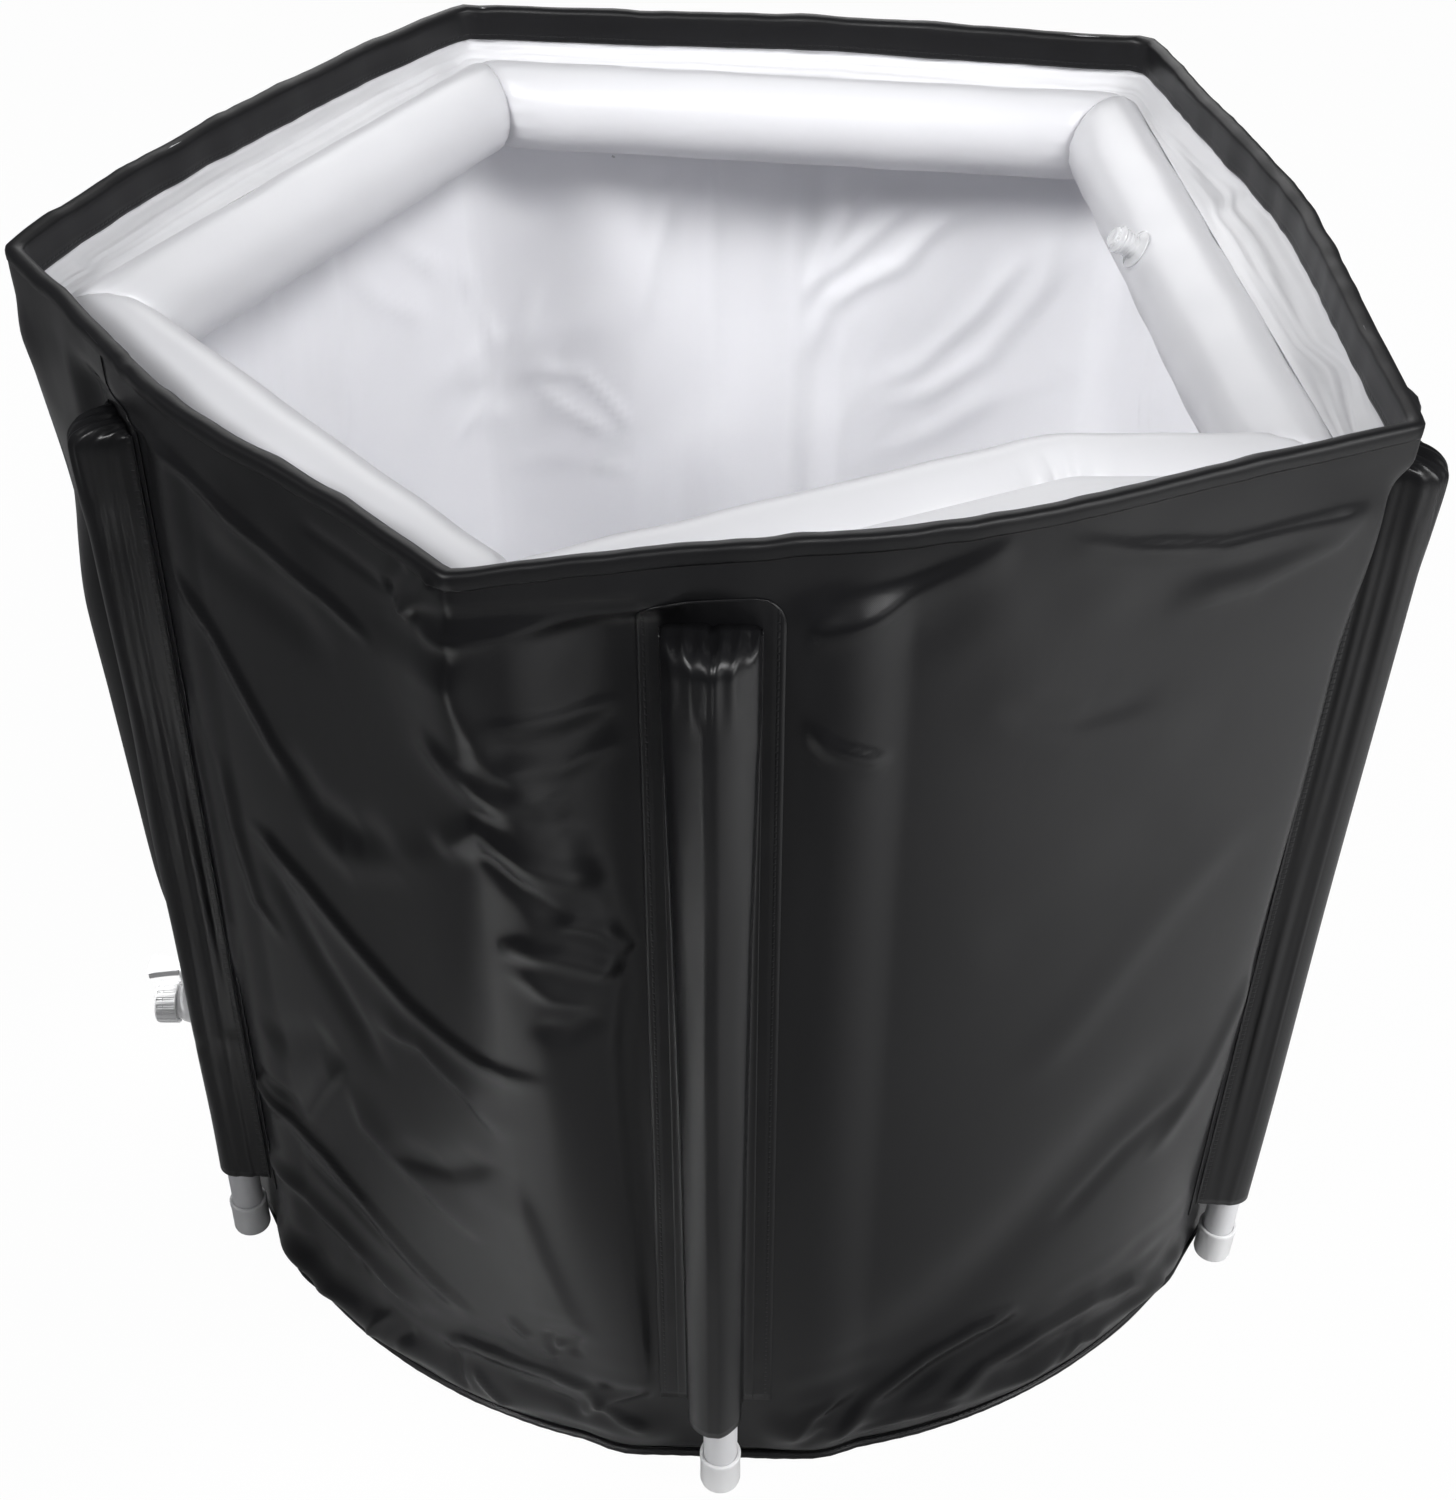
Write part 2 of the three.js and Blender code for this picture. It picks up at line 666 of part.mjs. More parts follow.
// A strip of cloth that follows the wall behind one pole
function patch(pole) {
  const heights = rowHeights.filter((row) => row >= lowRow && row <= hemFoot);
  const columns = [-patchHalf, -gripHalf, 0, gripHalf, patchHalf].map((offset) => pole.azimuth + offset);
  const sheet = (depth) => columns.flatMap((azimuth) => (
    heights.map((height) => place(sampledReach(azimuth, height) + depth, azimuth, height))));
  const points = [...sheet(touchGap + patchCloth), ...sheet(touchGap)];
  const rows = heights.length;
  const inner = columns.length * rows;
  const faces = [];
  const quad = (a, b, c, d) => faces.push([a, b, c], [a, c, d]);
  for (let i = 0; i + 1 < columns.length; i += 1) {
    for (let j = 0; j + 1 < rows; j += 1) {
      const here = i * rows + j;
      const over = here + rows;
      quad(here, over, over + 1, here + 1);
      quad(inner + here, inner + here + 1, inner + over + 1, inner + over);
    }
    const foot = i * rows;
    const head = foot + rows - 1;
    quad(foot, inner + foot, inner + foot + rows, foot + rows);
    quad(head, head + rows, inner + head + rows, inner + head);
  }
  const lastColumn = (columns.length - 1) * rows;
  for (let j = 0; j + 1 < rows; j += 1) {
    quad(j, j + 1, inner + j + 1, inner + j);
    quad(lastColumn + j, inner + lastColumn + j, inner + lastColumn + j + 1, lastColumn + j + 1);
  }
  return faceted(points, faces);
}

// A push-on cap with its closed end at height 0
function cap() {
  const socket = pipeDiameter / 2 + touchGap;
  return turned([
    [0, 0], [capRadius - capEdgeRound, 0], [capRadius, capEdgeRound], [capRadius, capLength],
    [socket, capLength], [socket, capFloor], [0, capFloor],
  ], poleSides);
}

function buildPole(pole) {
  const group = pole.group();
  const pipeEnd = capFloor + touchGap;
  const outside = pipeDiameter / 2;
  const inside = outside - pipeWall;
  addPiece(`pole_${pole.name}`, turned([
    [inside, pipeEnd], [outside, pipeEnd],
    [outside, pole.length - pipeEnd], [inside, pole.length - pipeEnd],
  ], poleSides, true), whitePipe, group);
  addPiece(`foot_cap_${pole.name}`, cap(), whitePlastic, group);
  const topCap = addPiece(`top_cap_${pole.name}`, cap(), whitePlastic, group);
  topCap.rotation.x = Math.PI;
  topCap.position.z = pole.length;

  const lidBottom = pole.length + touchGap;
  const tunnel = raised(sleeveSection(), sleeveHem, lidBottom + sleeveCloth / 2);
  const lid = raised(sleeveLid(), lidBottom, lidBottom + sleeveCloth);
  addPiece(`pole_sleeve_${pole.name}`, joined(tunnel, lid), blackCloth, group);
  addPiece(`sleeve_patch_${pole.name}`, patch(pole), blackCloth);
}

// Drain tap. Its local Z runs outwards from the wall's face, and local -X is up.

function buildDrain() {
  const bore = drainBore / 2;
  const pipe = drainPipeDiameter / 2;
  const flange = drainFlangeDiameter / 2;
  const inner = -wallBuild - touchGap;
  addPiece('drain_fitting', turned([
    [bore, inner - drainFlangeThickness], [flange, inner - drainFlangeThickness], [flange, inner],
    [pipe, inner], [pipe, drainPipeReach], [bore, drainPipeReach],
  ], roundSides, true), whitePlastic, drain);

  const overPipe = pipe + touchGap;
  const gasketEnd = touchGap + gasketThickness;
  addPiece('drain_gasket', turned([
    [overPipe, touchGap], [gasketDiameter / 2, touchGap],
    [gasketDiameter / 2, gasketEnd], [overPipe, gasketEnd],
  ], roundSides, true), rubber, drain);

  const nutStart = gasketEnd + touchGap;
  const nutEnd = nutStart + nutThickness;
  const nut = rod(nutAcrossCorners / 2, nutStart, nutEnd, nutSides);
  const nutHole = rod(overPipe, nutStart - cutOverrun, nutEnd + cutOverrun);
  addPiece('drain_lock_nut', cut(nut, nutHole), whitePlastic, drain);

  const bodyStart = nutEnd + touchGap;
  const bodyEnd = bodyStart + tapBodyLength;
  const outletEnd = bodyEnd + outletLength;
  const ball = ballDiameter / 2;
  const seatGap = ball + touchGap;
  const outer = tapBodyDiameter / 2;
  const body = turned([
    [overPipe, bodyStart], [outer, bodyStart], [outer, bodyEnd], [outletDiameter / 2, bodyEnd],
    [outletDiameter / 2, outletEnd], [bore, outletEnd], [bore, ballStand + seatGap],
    [seatGap, ballStand + seatGap], [seatGap, ballStand - seatGap], [bore, ballStand - seatGap],
    [bore, drainPipeReach + touchGap], [overPipe, drainPipeReach + touchGap],
  ], roundSides, true);
  const upright = (geometry) => geometry.rotateY(radians(-90)).translate(0, 0, ballStand);
  const boss = upright(rod(bossDiameter / 2, (outer + seatGap) / 2, bossHeight));
  const stemHole = upright(rod(stemDiameter / 2 + touchGap, 0, bossHeight + cutOverrun));
  addPiece('drain_tap_body', cut(joined(body, boss), stemHole), whitePlastic, drain);

  const arc = Array.from({ length: ballRows + 1 }, (_, i) => (
    [ball * sine(i * 180 / ballRows), -ball * cosine(i * 180 / ballRows)]));
  arc[0][0] = 0;
  arc[ballRows][0] = 0;
  const sphere = turned(arc).translate(0, 0, ballStand);
  const waterway = rod(ballWaterway / 2, ballStand - ball - cutOverrun, ballStand + ball + cutOverrun);
  const stem = upright(rod(stemDiameter / 2, ballWaterway / 2 + touchGap, stemHeight));
  addPiece('drain_ball', joined(cut(sphere, waterway), stem), whitePlastic, drain);

  const lever = new THREE.Shape([
    new THREE.Vector2(-handleHubDiameter / 4, -handleWidth / 2),
    new THREE.Vector2(handleReach, -handleTipWidth / 2),
    new THREE.Vector2(handleReach, handleTipWidth / 2),
    new THREE.Vector2(-handleHubDiameter / 4, handleWidth / 2),
  ]);
  const leverTop = handleBase + handleHubHeight;
  const bar = raised(lever, leverTop - handleThickness, leverTop);
  const hub = rod(handleHubDiameter / 2, handleBase, leverTop);
  const socket = rod(stemDiameter / 2 + touchGap, handleBase - cutOverrun, stemHeight + touchGap);
  addPiece('drain_handle', upright(cut(joined(hub, bar), socket)), whitePlastic, drain);

  const capStart = bodyEnd + touchGap;
  const capFace = outletEnd + touchGap;
  const rim = drainCapDiameter / 2;
  const thread = outletDiameter / 2 + touchGap;
  const skirt = Math.max(capStart, capFace - drainCapSkirt);
  addPiece('drain_cap', turned([
    [thread, skirt], [rim, skirt],
    [rim, capFace + drainCapEnd - drainCapChamfer], [rim - drainCapChamfer, capFace + drainCapEnd],
    [0, capFace + drainCapEnd], [0, capFace], [thread, capFace],
  ], roundSides, true), whitePlastic, drain);
}

buildWall();
buildBase();
buildRing();
buildValve();
poles.forEach(buildPole);
buildDrain();

export default tub;
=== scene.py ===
"""Looks of a portable ice bath tub: a cloth wall on poles, an inflated ring, a liner and a drain tap.

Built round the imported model, in metres, +Z up. Angles are in degrees, and the front faces -Y.
"""
from __future__ import annotations

import logging
import math
from dataclasses import dataclass, field
from enum import Enum
from typing import Callable, Sequence

import bmesh
import bpy
import numpy as np
from mathutils import Matrix, Vector


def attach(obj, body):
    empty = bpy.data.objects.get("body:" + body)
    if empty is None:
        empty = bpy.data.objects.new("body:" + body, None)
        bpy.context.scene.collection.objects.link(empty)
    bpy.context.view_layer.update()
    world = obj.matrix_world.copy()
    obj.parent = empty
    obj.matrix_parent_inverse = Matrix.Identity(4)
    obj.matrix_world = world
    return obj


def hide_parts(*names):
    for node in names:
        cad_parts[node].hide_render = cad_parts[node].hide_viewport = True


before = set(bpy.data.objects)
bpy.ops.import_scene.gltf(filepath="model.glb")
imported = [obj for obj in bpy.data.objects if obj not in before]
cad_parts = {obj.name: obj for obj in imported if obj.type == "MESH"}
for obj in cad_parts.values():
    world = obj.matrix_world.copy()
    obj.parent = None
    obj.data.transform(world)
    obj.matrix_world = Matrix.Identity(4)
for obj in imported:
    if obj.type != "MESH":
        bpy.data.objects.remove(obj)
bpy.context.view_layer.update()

log = logging.getLogger("tub")
Array = np.ndarray
Stops = tuple[tuple[float, float], ...]


# Shader maths


class Wire:
    """A socket that carries a number; arithmetic on wires adds Math nodes."""

    def __init__(self, paint: "Paint", socket: bpy.types.NodeSocket) -> None:
        """Wraps one output socket of a material under construction."""
        self.paint = paint
        self.socket = socket

    def _do(self, operation: str, *values: "Wire | float") -> "Wire":
        """Adds one Math node for an operation on wires and numbers."""
        return self.paint.maths(operation, *values)

    def __add__(self, other: "Wire | float") -> "Wire":
        """Sum."""
        return self._do("ADD", self, other)

    __radd__ = __add__

    def __sub__(self, other: "Wire | float") -> "Wire":
        """Difference."""
        return self._do("SUBTRACT", self, other)

    def __rsub__(self, other: float) -> "Wire":
        """Difference with a number first."""
        return self._do("SUBTRACT", other, self)

    def __mul__(self, other: "Wire | float") -> "Wire":
        """Product."""
        return self._do("MULTIPLY", self, other)

    __rmul__ = __mul__

    def __truediv__(self, other: "Wire | float") -> "Wire":
        """Quotient."""
        return self._do("DIVIDE", self, other)

    def __rtruediv__(self, other: float) -> "Wire":
        """Quotient with a number first."""
        return self._do("DIVIDE", other, self)

    def sine(self) -> "Wire":
        """Sine of the number, in radians."""
        return self._do("SINE", self)

    def size(self) -> "Wire":
        """Distance from zero."""
        return self._do("ABSOLUTE", self)

    def part(self) -> "Wire":
        """What is left after the whole number."""
        return self._do("FRACT", self)

    def rise(self, low: float, high: float) -> "Wire":
        """A soft step from 0 at low to 1 at high.

        Args:
            low: Value at which the step starts.
            high: Value at which it ends; below low, the step falls.

        Returns:
            The step, from 0 to 1.
        """
        turned = low > high
        ends = (high, low) if turned else (low, high)
        node = self.paint.node("ShaderNodeMapRange", {"interpolation_type": "SMOOTHSTEP"},
                               {"Value": self, "From Min": ends[0], "From Max": ends[1]})
        step = Wire(self.paint, node.outputs["Result"])
        return 1 - step if turned else step


def added(wires: list[Wire]) -> Wire:
    """Sum of wires."""
    return sum(wires[1:], wires[0])


class Paint:
    """One material's nodes while they are being laid out."""

    def __init__(self, name: str) -> None:
        """Starts an empty material."""
        self.material = bpy.data.materials.new(name)
        self.material.use_nodes = True
        self.tree = self.material.node_tree
        self.tree.nodes.clear()

    def node(self, kind: str, settings: dict | None = None, inputs: dict | None = None) -> bpy.types.Node:
        """Adds a node.

        Args:
            kind: Its type name.
            settings: Properties, set before any socket.
            inputs: Socket name or number to a value, wire or socket.

        Returns:
            The node.
        """
        node = self.tree.nodes.new(kind)
        for key, value in (settings or {}).items():
            if key == "stops":
                ramp = node.color_ramp.elements
                while len(ramp) < len(value):
                    ramp.new(0.5)
                for stop, (place, tone) in zip(ramp, value):
                    stop.position = place
                    stop.color = (*tone, 1) if len(tone) == 3 else tone
            else:
                setattr(node, key, value)
        for key, value in (inputs or {}).items():
            socket = node.inputs[key]
            value = value.socket if isinstance(value, Wire) else value
            if isinstance(value, bpy.types.NodeSocket):
                self.tree.links.new(value, socket)
            else:
                socket.default_value = value
        return node

    def maths(self, operation: str, *values: "Wire | float") -> Wire:
        """Adds a Math node on wires and numbers and wraps its result."""
        node = self.node("ShaderNodeMath", {"operation": operation}, dict(enumerate(values)))
        return Wire(self, node.outputs[0])

    def noise(self, where: bpy.types.NodeSocket, scale: float, detail: float = 2.0,
              stretch: Sequence[float] = (1, 1, 1)) -> Wire:
        """Adds noise from 0 to 1 over a coordinate.

        Args:
            where: The coordinate.
            scale: Lumps per metre.
            detail: Octaves.
            stretch: Scale along each axis.

        Returns:
            The noise.
        """
        placed = self.node("ShaderNodeMapping", None, {"Vector": where, "Scale": tuple(stretch)})
        node = self.node("ShaderNodeTexNoise", None,
                         {"Vector": placed.outputs[0], "Scale": scale, "Detail": detail})
        return Wire(self, node.outputs[0])

    def places(self) -> tuple[bpy.types.NodeSocket, Wire, Wire]:
        """The cloth's own coordinates in metres: the pair, then along and up."""
        where = self.node("ShaderNodeUVMap", {"uv_map": "cloth"}).outputs[0]
        split = self.node("ShaderNodeSeparateXYZ", None, {0: where})
        return where, Wire(self, split.outputs[0]), Wire(self, split.outputs[1])

    def solid(self) -> bpy.types.NodeSocket:
        """Object coordinates, in metres."""
        return self.node("ShaderNodeTexCoord").outputs["Object"]

    def blend(self, share: Wire, first: Sequence[float], second: Sequence[float]) -> bpy.types.NodeSocket:
        """Mixes two colours.

        Args:
            share: How much of the second, from 0 to 1.
            first: The first colour.
            second: The second colour.

        Returns:
            The mixed colour.
        """
        node = self.node("ShaderNodeMix", {"data_type": "RGBA"},
                         {0: share, 6: (*first, 1), 7: (*second, 1)})
        return node.outputs[2]

    def bump(self, height: Wire, strength: float, depth: float) -> bpy.types.NodeSocket:
        """Turns a height from 0 to 1 into a normal; depth is its full height in metres."""
        return self.node("ShaderNodeBump", None,
                         {"Height": height, "Strength": strength, "Distance": depth}).outputs[0]

    def finish(self, **sockets: object) -> bpy.types.Material:
        """Ends the material with one principled shader.

        Args:
            sockets: The shader's inputs, their names written with underscores.

        Returns:
            The material.
        """
        inputs = {key.replace("_", " "): value for key, value in sockets.items()}
        shader = self.node("ShaderNodeBsdfPrincipled", None, inputs)
        self.node("ShaderNodeOutputMaterial", None, {0: shader.outputs[0]})
        return self.material


# Finishes


class Run(Enum):
    """Which way a row of stitches runs on a piece of cloth."""

    ALONG = "along"
    UP = "up"


@dataclass(frozen=True)
class Stitches:
    """A row of stitches.

    Attributes:
        run: Which way it runs.
        at: Its place across the row, in metres.
    """

    run: Run
    at: float

    def mask(self, along: Wire, up: Wire, pitch: float, width: float) -> Wire:
        """Builds 1 on each stitch and 0 between.

        Args:
            along: The cloth's coordinate along.
            up: The cloth's coordinate up.
            pitch: Length of a stitch and its gap.
            width: Width of the thread.

        Returns:
            The mask.
        """
        line = along if self.run is Run.ALONG else up
        dash = ((line / pitch).part() - 0.5).size().rise(0.42, 0.3)
        return dash * self.off(along, up).rise(width, width * 0.4)

    def off(self, along: Wire, up: Wire) -> Wire:
        """Distance from the row, across it."""
        return ((up if self.run is Run.ALONG else along) - self.at).size()


@dataclass(frozen=True)
class CoatedCloth:
    """Black coated cloth with a fine weave and a satin face."""

    name: str
    tone: tuple[float, float, float] = (0.0052, 0.0052, 0.0058)
    pale: tuple[float, float, float] = (0.0088, 0.0088, 0.0098)
    gloss: float = 0.29
    shine: float = 0.3
    weave: float = 0.0009
    stitch: float = 0.0042
    thread: float = 0.0007
    pulled: float = 0.003
    rows: tuple[Stitches, ...] = ()

    def material(self) -> bpy.types.Material:
        """Lays out the cloth's weave, soft creases, worn tone and stitches."""
        paint = Paint(self.name)
        where, along, up = paint.places()
        cloudy = paint.noise(where, 9, 3)
        streaks = paint.noise(where, 60, 2, (1, 0.35, 1))
        pace = math.tau / self.weave
        threads = (along * pace).sine() * (up * pace).sine() * 0.5 + 0.5
        creases = paint.noise(where, 34, 3, (1, 0.5, 1))
        height = threads * 0.12 + creases * 0.5 + streaks * 0.25
        tone = cloudy * 0.6 + streaks * 0.25 + threads * 0.15
        if self.rows:
            marks = added([row.mask(along, up, self.stitch, self.thread) for row in self.rows])
            grooves = added([row.off(along, up).rise(self.pulled, 0.0) for row in self.rows])
            height = height - grooves * 0.9 + marks * 0.7
            tone = tone + marks * 0.5
        return paint.finish(
            Base_Color=paint.blend(tone, self.tone, self.pale),
            Roughness=cloudy * 0.1 + streaks * 0.06 + self.gloss - 0.06,
            Specular_IOR_Level=self.shine,
            Normal=paint.bump(height, 0.5, 0.0005))


@dataclass(frozen=True)
class Vinyl:
    """White coated cloth or ring skin, smooth, with soft creases and weld marks."""

    name: str
    tone: tuple[float, float, float] = (0.86, 0.86, 0.885)
    shade: tuple[float, float, float] = (0.80, 0.80, 0.835)
    gloss: float = 0.38
    creases: float = 0.6
    stitch: float = 0.0045
    thread: float = 0.0006
    rows: tuple[Stitches, ...] = ()

    def material(self) -> bpy.types.Material:
        """Lays out the faint clouding, creases, grain and seams."""
        paint = Paint(self.name)
        where, along, up = paint.places()
        cloudy = paint.noise(where, 7, 3)
        ripples = paint.noise(where, 28, 4, (1, 0.6, 1))
        grain = paint.noise(where, 900, 1)
        height = ripples * self.creases + grain * 0.06
        tone = cloudy * 0.5 + ripples * 0.35
        for row in self.rows:
            off, marks = row.off(along, up), row.mask(along, up, self.stitch, self.thread)
            height = height - off.rise(0.0025, 0.0) * 0.5 + marks * 0.4
            tone = tone + off.rise(0.0016, 0.0) * 0.3
        return paint.finish(
            Base_Color=paint.blend(tone, self.tone, self.shade),
            Roughness=cloudy * 0.1 + grain * 0.05 + self.gloss - 0.06,
            Normal=paint.bump(height, 0.45, 0.0008))


@dataclass(frozen=True)
class Moulded:
    """Plain moulded or drawn material: plastic, rubber or foam.

    Attributes:
        cells: Grains per metre of its surface.
        drawn: Stretch of the grain along Z, as on drawn pipe.
        relief: Height of the grain, in metres.
    """

    name: str
    tone: tuple[float, float, float]
    shade: tuple[float, float, float]
    gloss: float = 0.35
    cells: float = 500
    drawn: float = 1.0
    relief: float = 0.0002
    coat: float = 0.0
    clear: float = 1.0

    def material(self) -> bpy.types.Material:
        """Lays out the grain, the faint clouding and the scuffs."""
        paint = Paint(self.name)
        where = paint.solid()
        cloudy = paint.noise(where, 25, 3)
        grain = paint.noise(where, self.cells, 2, (1, 1, self.drawn))
        scuffs = paint.noise(where, 140, 4, (1, 1, 0.4)).rise(0.62, 0.72)
        return paint.finish(
            Base_Color=paint.blend(cloudy * 0.5 + scuffs * 0.4 + grain * 0.1, self.tone, self.shade),
            Roughness=cloudy * 0.08 + scuffs * 0.12 + self.gloss,
            Coat_Weight=self.coat, Coat_Roughness=0.08, Alpha=self.clear,
            Normal=paint.bump(grain * 0.6 + scuffs * 0.2 + cloudy * 0.2, 0.4, self.relief))


SIDES = (Stitches(Run.UP, -0.0215), Stitches(Run.UP, 0.0215))
HEM_ROW = (Stitches(Run.ALONG, 0.0035),)
FLANGE_ROW = (Stitches(Run.ALONG, 0.004),)
PATCH_SIDES = (Stitches(Run.UP, -0.0315), Stitches(Run.UP, 0.0315), Stitches(Run.ALONG, 0.6735))


def made(recipe: CoatedCloth | Vinyl | Moulded) -> object:
    """A field whose material is laid out from its recipe when the finishes are made."""
    return field(default_factory=recipe.material)


@dataclass
class Finishes:
    """Every finish of the tub, each made once."""

    cloth: bpy.types.Material = made(CoatedCloth("black_cloth"))
    sleeve: bpy.types.Material = made(CoatedCloth("sleeve_cloth", gloss=0.3, shine=0.36, rows=SIDES))
    patch: bpy.types.Material = made(CoatedCloth("patch_cloth", gloss=0.31, rows=PATCH_SIDES))
    binding: bpy.types.Material = made(CoatedCloth("hem_cloth", gloss=0.4, rows=HEM_ROW))
    liner: bpy.types.Material = made(Vinyl("liner_vinyl", gloss=0.42, creases=0.55))
    # The ring takes the liner's white vinyl in a darker tone, to hold down the strong light that falls on its
    # top: painted shade.
    ring: bpy.types.Material = made(Vinyl("ring_vinyl_painted_shade", (0.68, 0.68, 0.7), (0.62, 0.62, 0.65), 0.34, 0.25))
    # The flange takes the liner's white vinyl in a darker tone, to hold down the strong light that falls on
    # it from above: painted shade.
    flange: bpy.types.Material = made(Vinyl(
        "flange_vinyl_painted_shade", (0.72, 0.72, 0.735), (0.64, 0.64, 0.67), 0.4, 0.7, rows=FLANGE_ROW))
    plastic: bpy.types.Material = made(Moulded(
        "white_plastic", (0.94, 0.94, 0.945), (0.87, 0.87, 0.88), 0.3, coat=0.15))
    pipe: bpy.types.Material = made(Moulded(
        "white_pipe", (0.86, 0.86, 0.875), (0.78, 0.78, 0.8), 0.4, 900, 0.02))
    clear: bpy.types.Material = made(Moulded(
        "clear_vinyl", (0.86, 0.87, 0.88), (0.74, 0.74, 0.76), 0.08, 300, coat=0.8, clear=0.42))
    rubber: bpy.types.Material = made(Moulded(
        "black_rubber", (0.02, 0.02, 0.02), (0.035, 0.035, 0.035), 0.6, 1200, relief=0.0003))
    foam: bpy.types.Material = made(Moulded(
        "grey_foam", (0.56, 0.565, 0.57), (0.46, 0.465, 0.47), 0.85, 1600, relief=0.0006))


# Cloth surfaces


def apart(turn: Array | float, other: Array | float) -> Array:
    """Signed turn from other to turn, from -180 to 180."""
    return (np.asarray(turn) - other + 180) % 360 - 180


def fade(value: Array, low: float, high: float) -> Array:
    """A soft step from 0 at low to 1 at high."""
    share = np.clip((value - low) / (high - low), 0, 1)
    return share * share * (3 - 2 * share)


def polar(reach: Array, turn: Array, height: Array) -> Array:
    """Points at a reach from the tub's axis, a turn round it and a height."""
    angle = np.radians(turn)
    return np.stack(np.broadcast_arrays(reach * np.cos(angle), reach * np.sin(angle), height), -1)


def lumps(along: Array, up: Array, size: float, seed: int, stretch: float = 1.0) -> Array:
    """Smooth unevenness from -1 to 1.

    Args:
        along: Place along the cloth, in metres.
        up: Place up the cloth, in metres.
        size: Width of a lump, in metres.
        seed: Chooses the pattern.
        stretch: How much longer than wide the lumps are, upwards.

    Returns:
        The unevenness at each place.
    """
    dice = np.random.default_rng(seed)
    total = np.zeros(np.broadcast(along, up).shape)
    for _ in range(9):
        turn, pace, start = dice.uniform(0, math.tau), dice.uniform(0.6, 1.5), dice.uniform(0, math.tau)
        reach = math.pi * pace / size
        total += np.sin(along * reach * math.cos(turn) + up * reach * math.sin(turn) / stretch + start)
    return total / 3.6


@dataclass(frozen=True)
class Fold:
    """One fold of the wall cloth.

    Attributes:
        depth: How far it stands out, in millimetres; below zero it is a hollow.
        left: Width over which it fades to the left, for someone walking its line, in millimetres.
        right: The same to the right.
        stops: Its line, as azimuth in degrees and height in millimetres.
        taper: Share of the line over which each end dies away.
    """

    depth: float
    left: float
    right: float
    stops: Stops
    taper: float = 0.25

    def push(self, turn: Array, height: Array, reach: float = 0.392) -> Array:
        """How far the fold moves the cloth.

        Args:
            turn: Azimuth of each place, in degrees.
            height: Height of each place, in metres.
            reach: Reach at which the widths are measured, in metres.

        Returns:
            The push outwards at each place, in metres.
        """
        start = self.stops[0][0]
        across = np.radians(apart(turn, start)) * reach
        knots = [(math.radians(float(apart(a, start))) * reach, h / 1000) for a, h in self.stops]
        spans = [math.dist(p, q) for p, q in zip(knots, knots[1:])]
        whole, run = sum(spans), 0.0
        nearest = np.full(np.broadcast(across, height).shape, np.inf)
        side, place = np.zeros_like(nearest), np.zeros_like(nearest)
        for (ax, ay), (bx, by), span in zip(knots, knots[1:], spans):
            ux, uy = (bx - ax) / span, (by - ay) / span
            step = np.clip((across - ax) * ux + (height - ay) * uy, 0, span)
            dx, dy = across - ax - step * ux, height - ay - step * uy
            far = np.hypot(dx, dy)
            closer = far < nearest
            nearest = np.where(closer, far, nearest)
            side = np.where(closer, ux * dy - uy * dx, side)
            place = np.where(closer, (run + step) / whole, place)
            run += span
        width = np.where(side > 0, self.left, self.right) / 1000
        ends = 1.0
        if self.taper:
            ends = fade(place, 0, self.taper) * fade(1 - place, 0, self.taper)
        return self.depth / 1000 * np.exp(-(nearest / width) ** 2) * ends


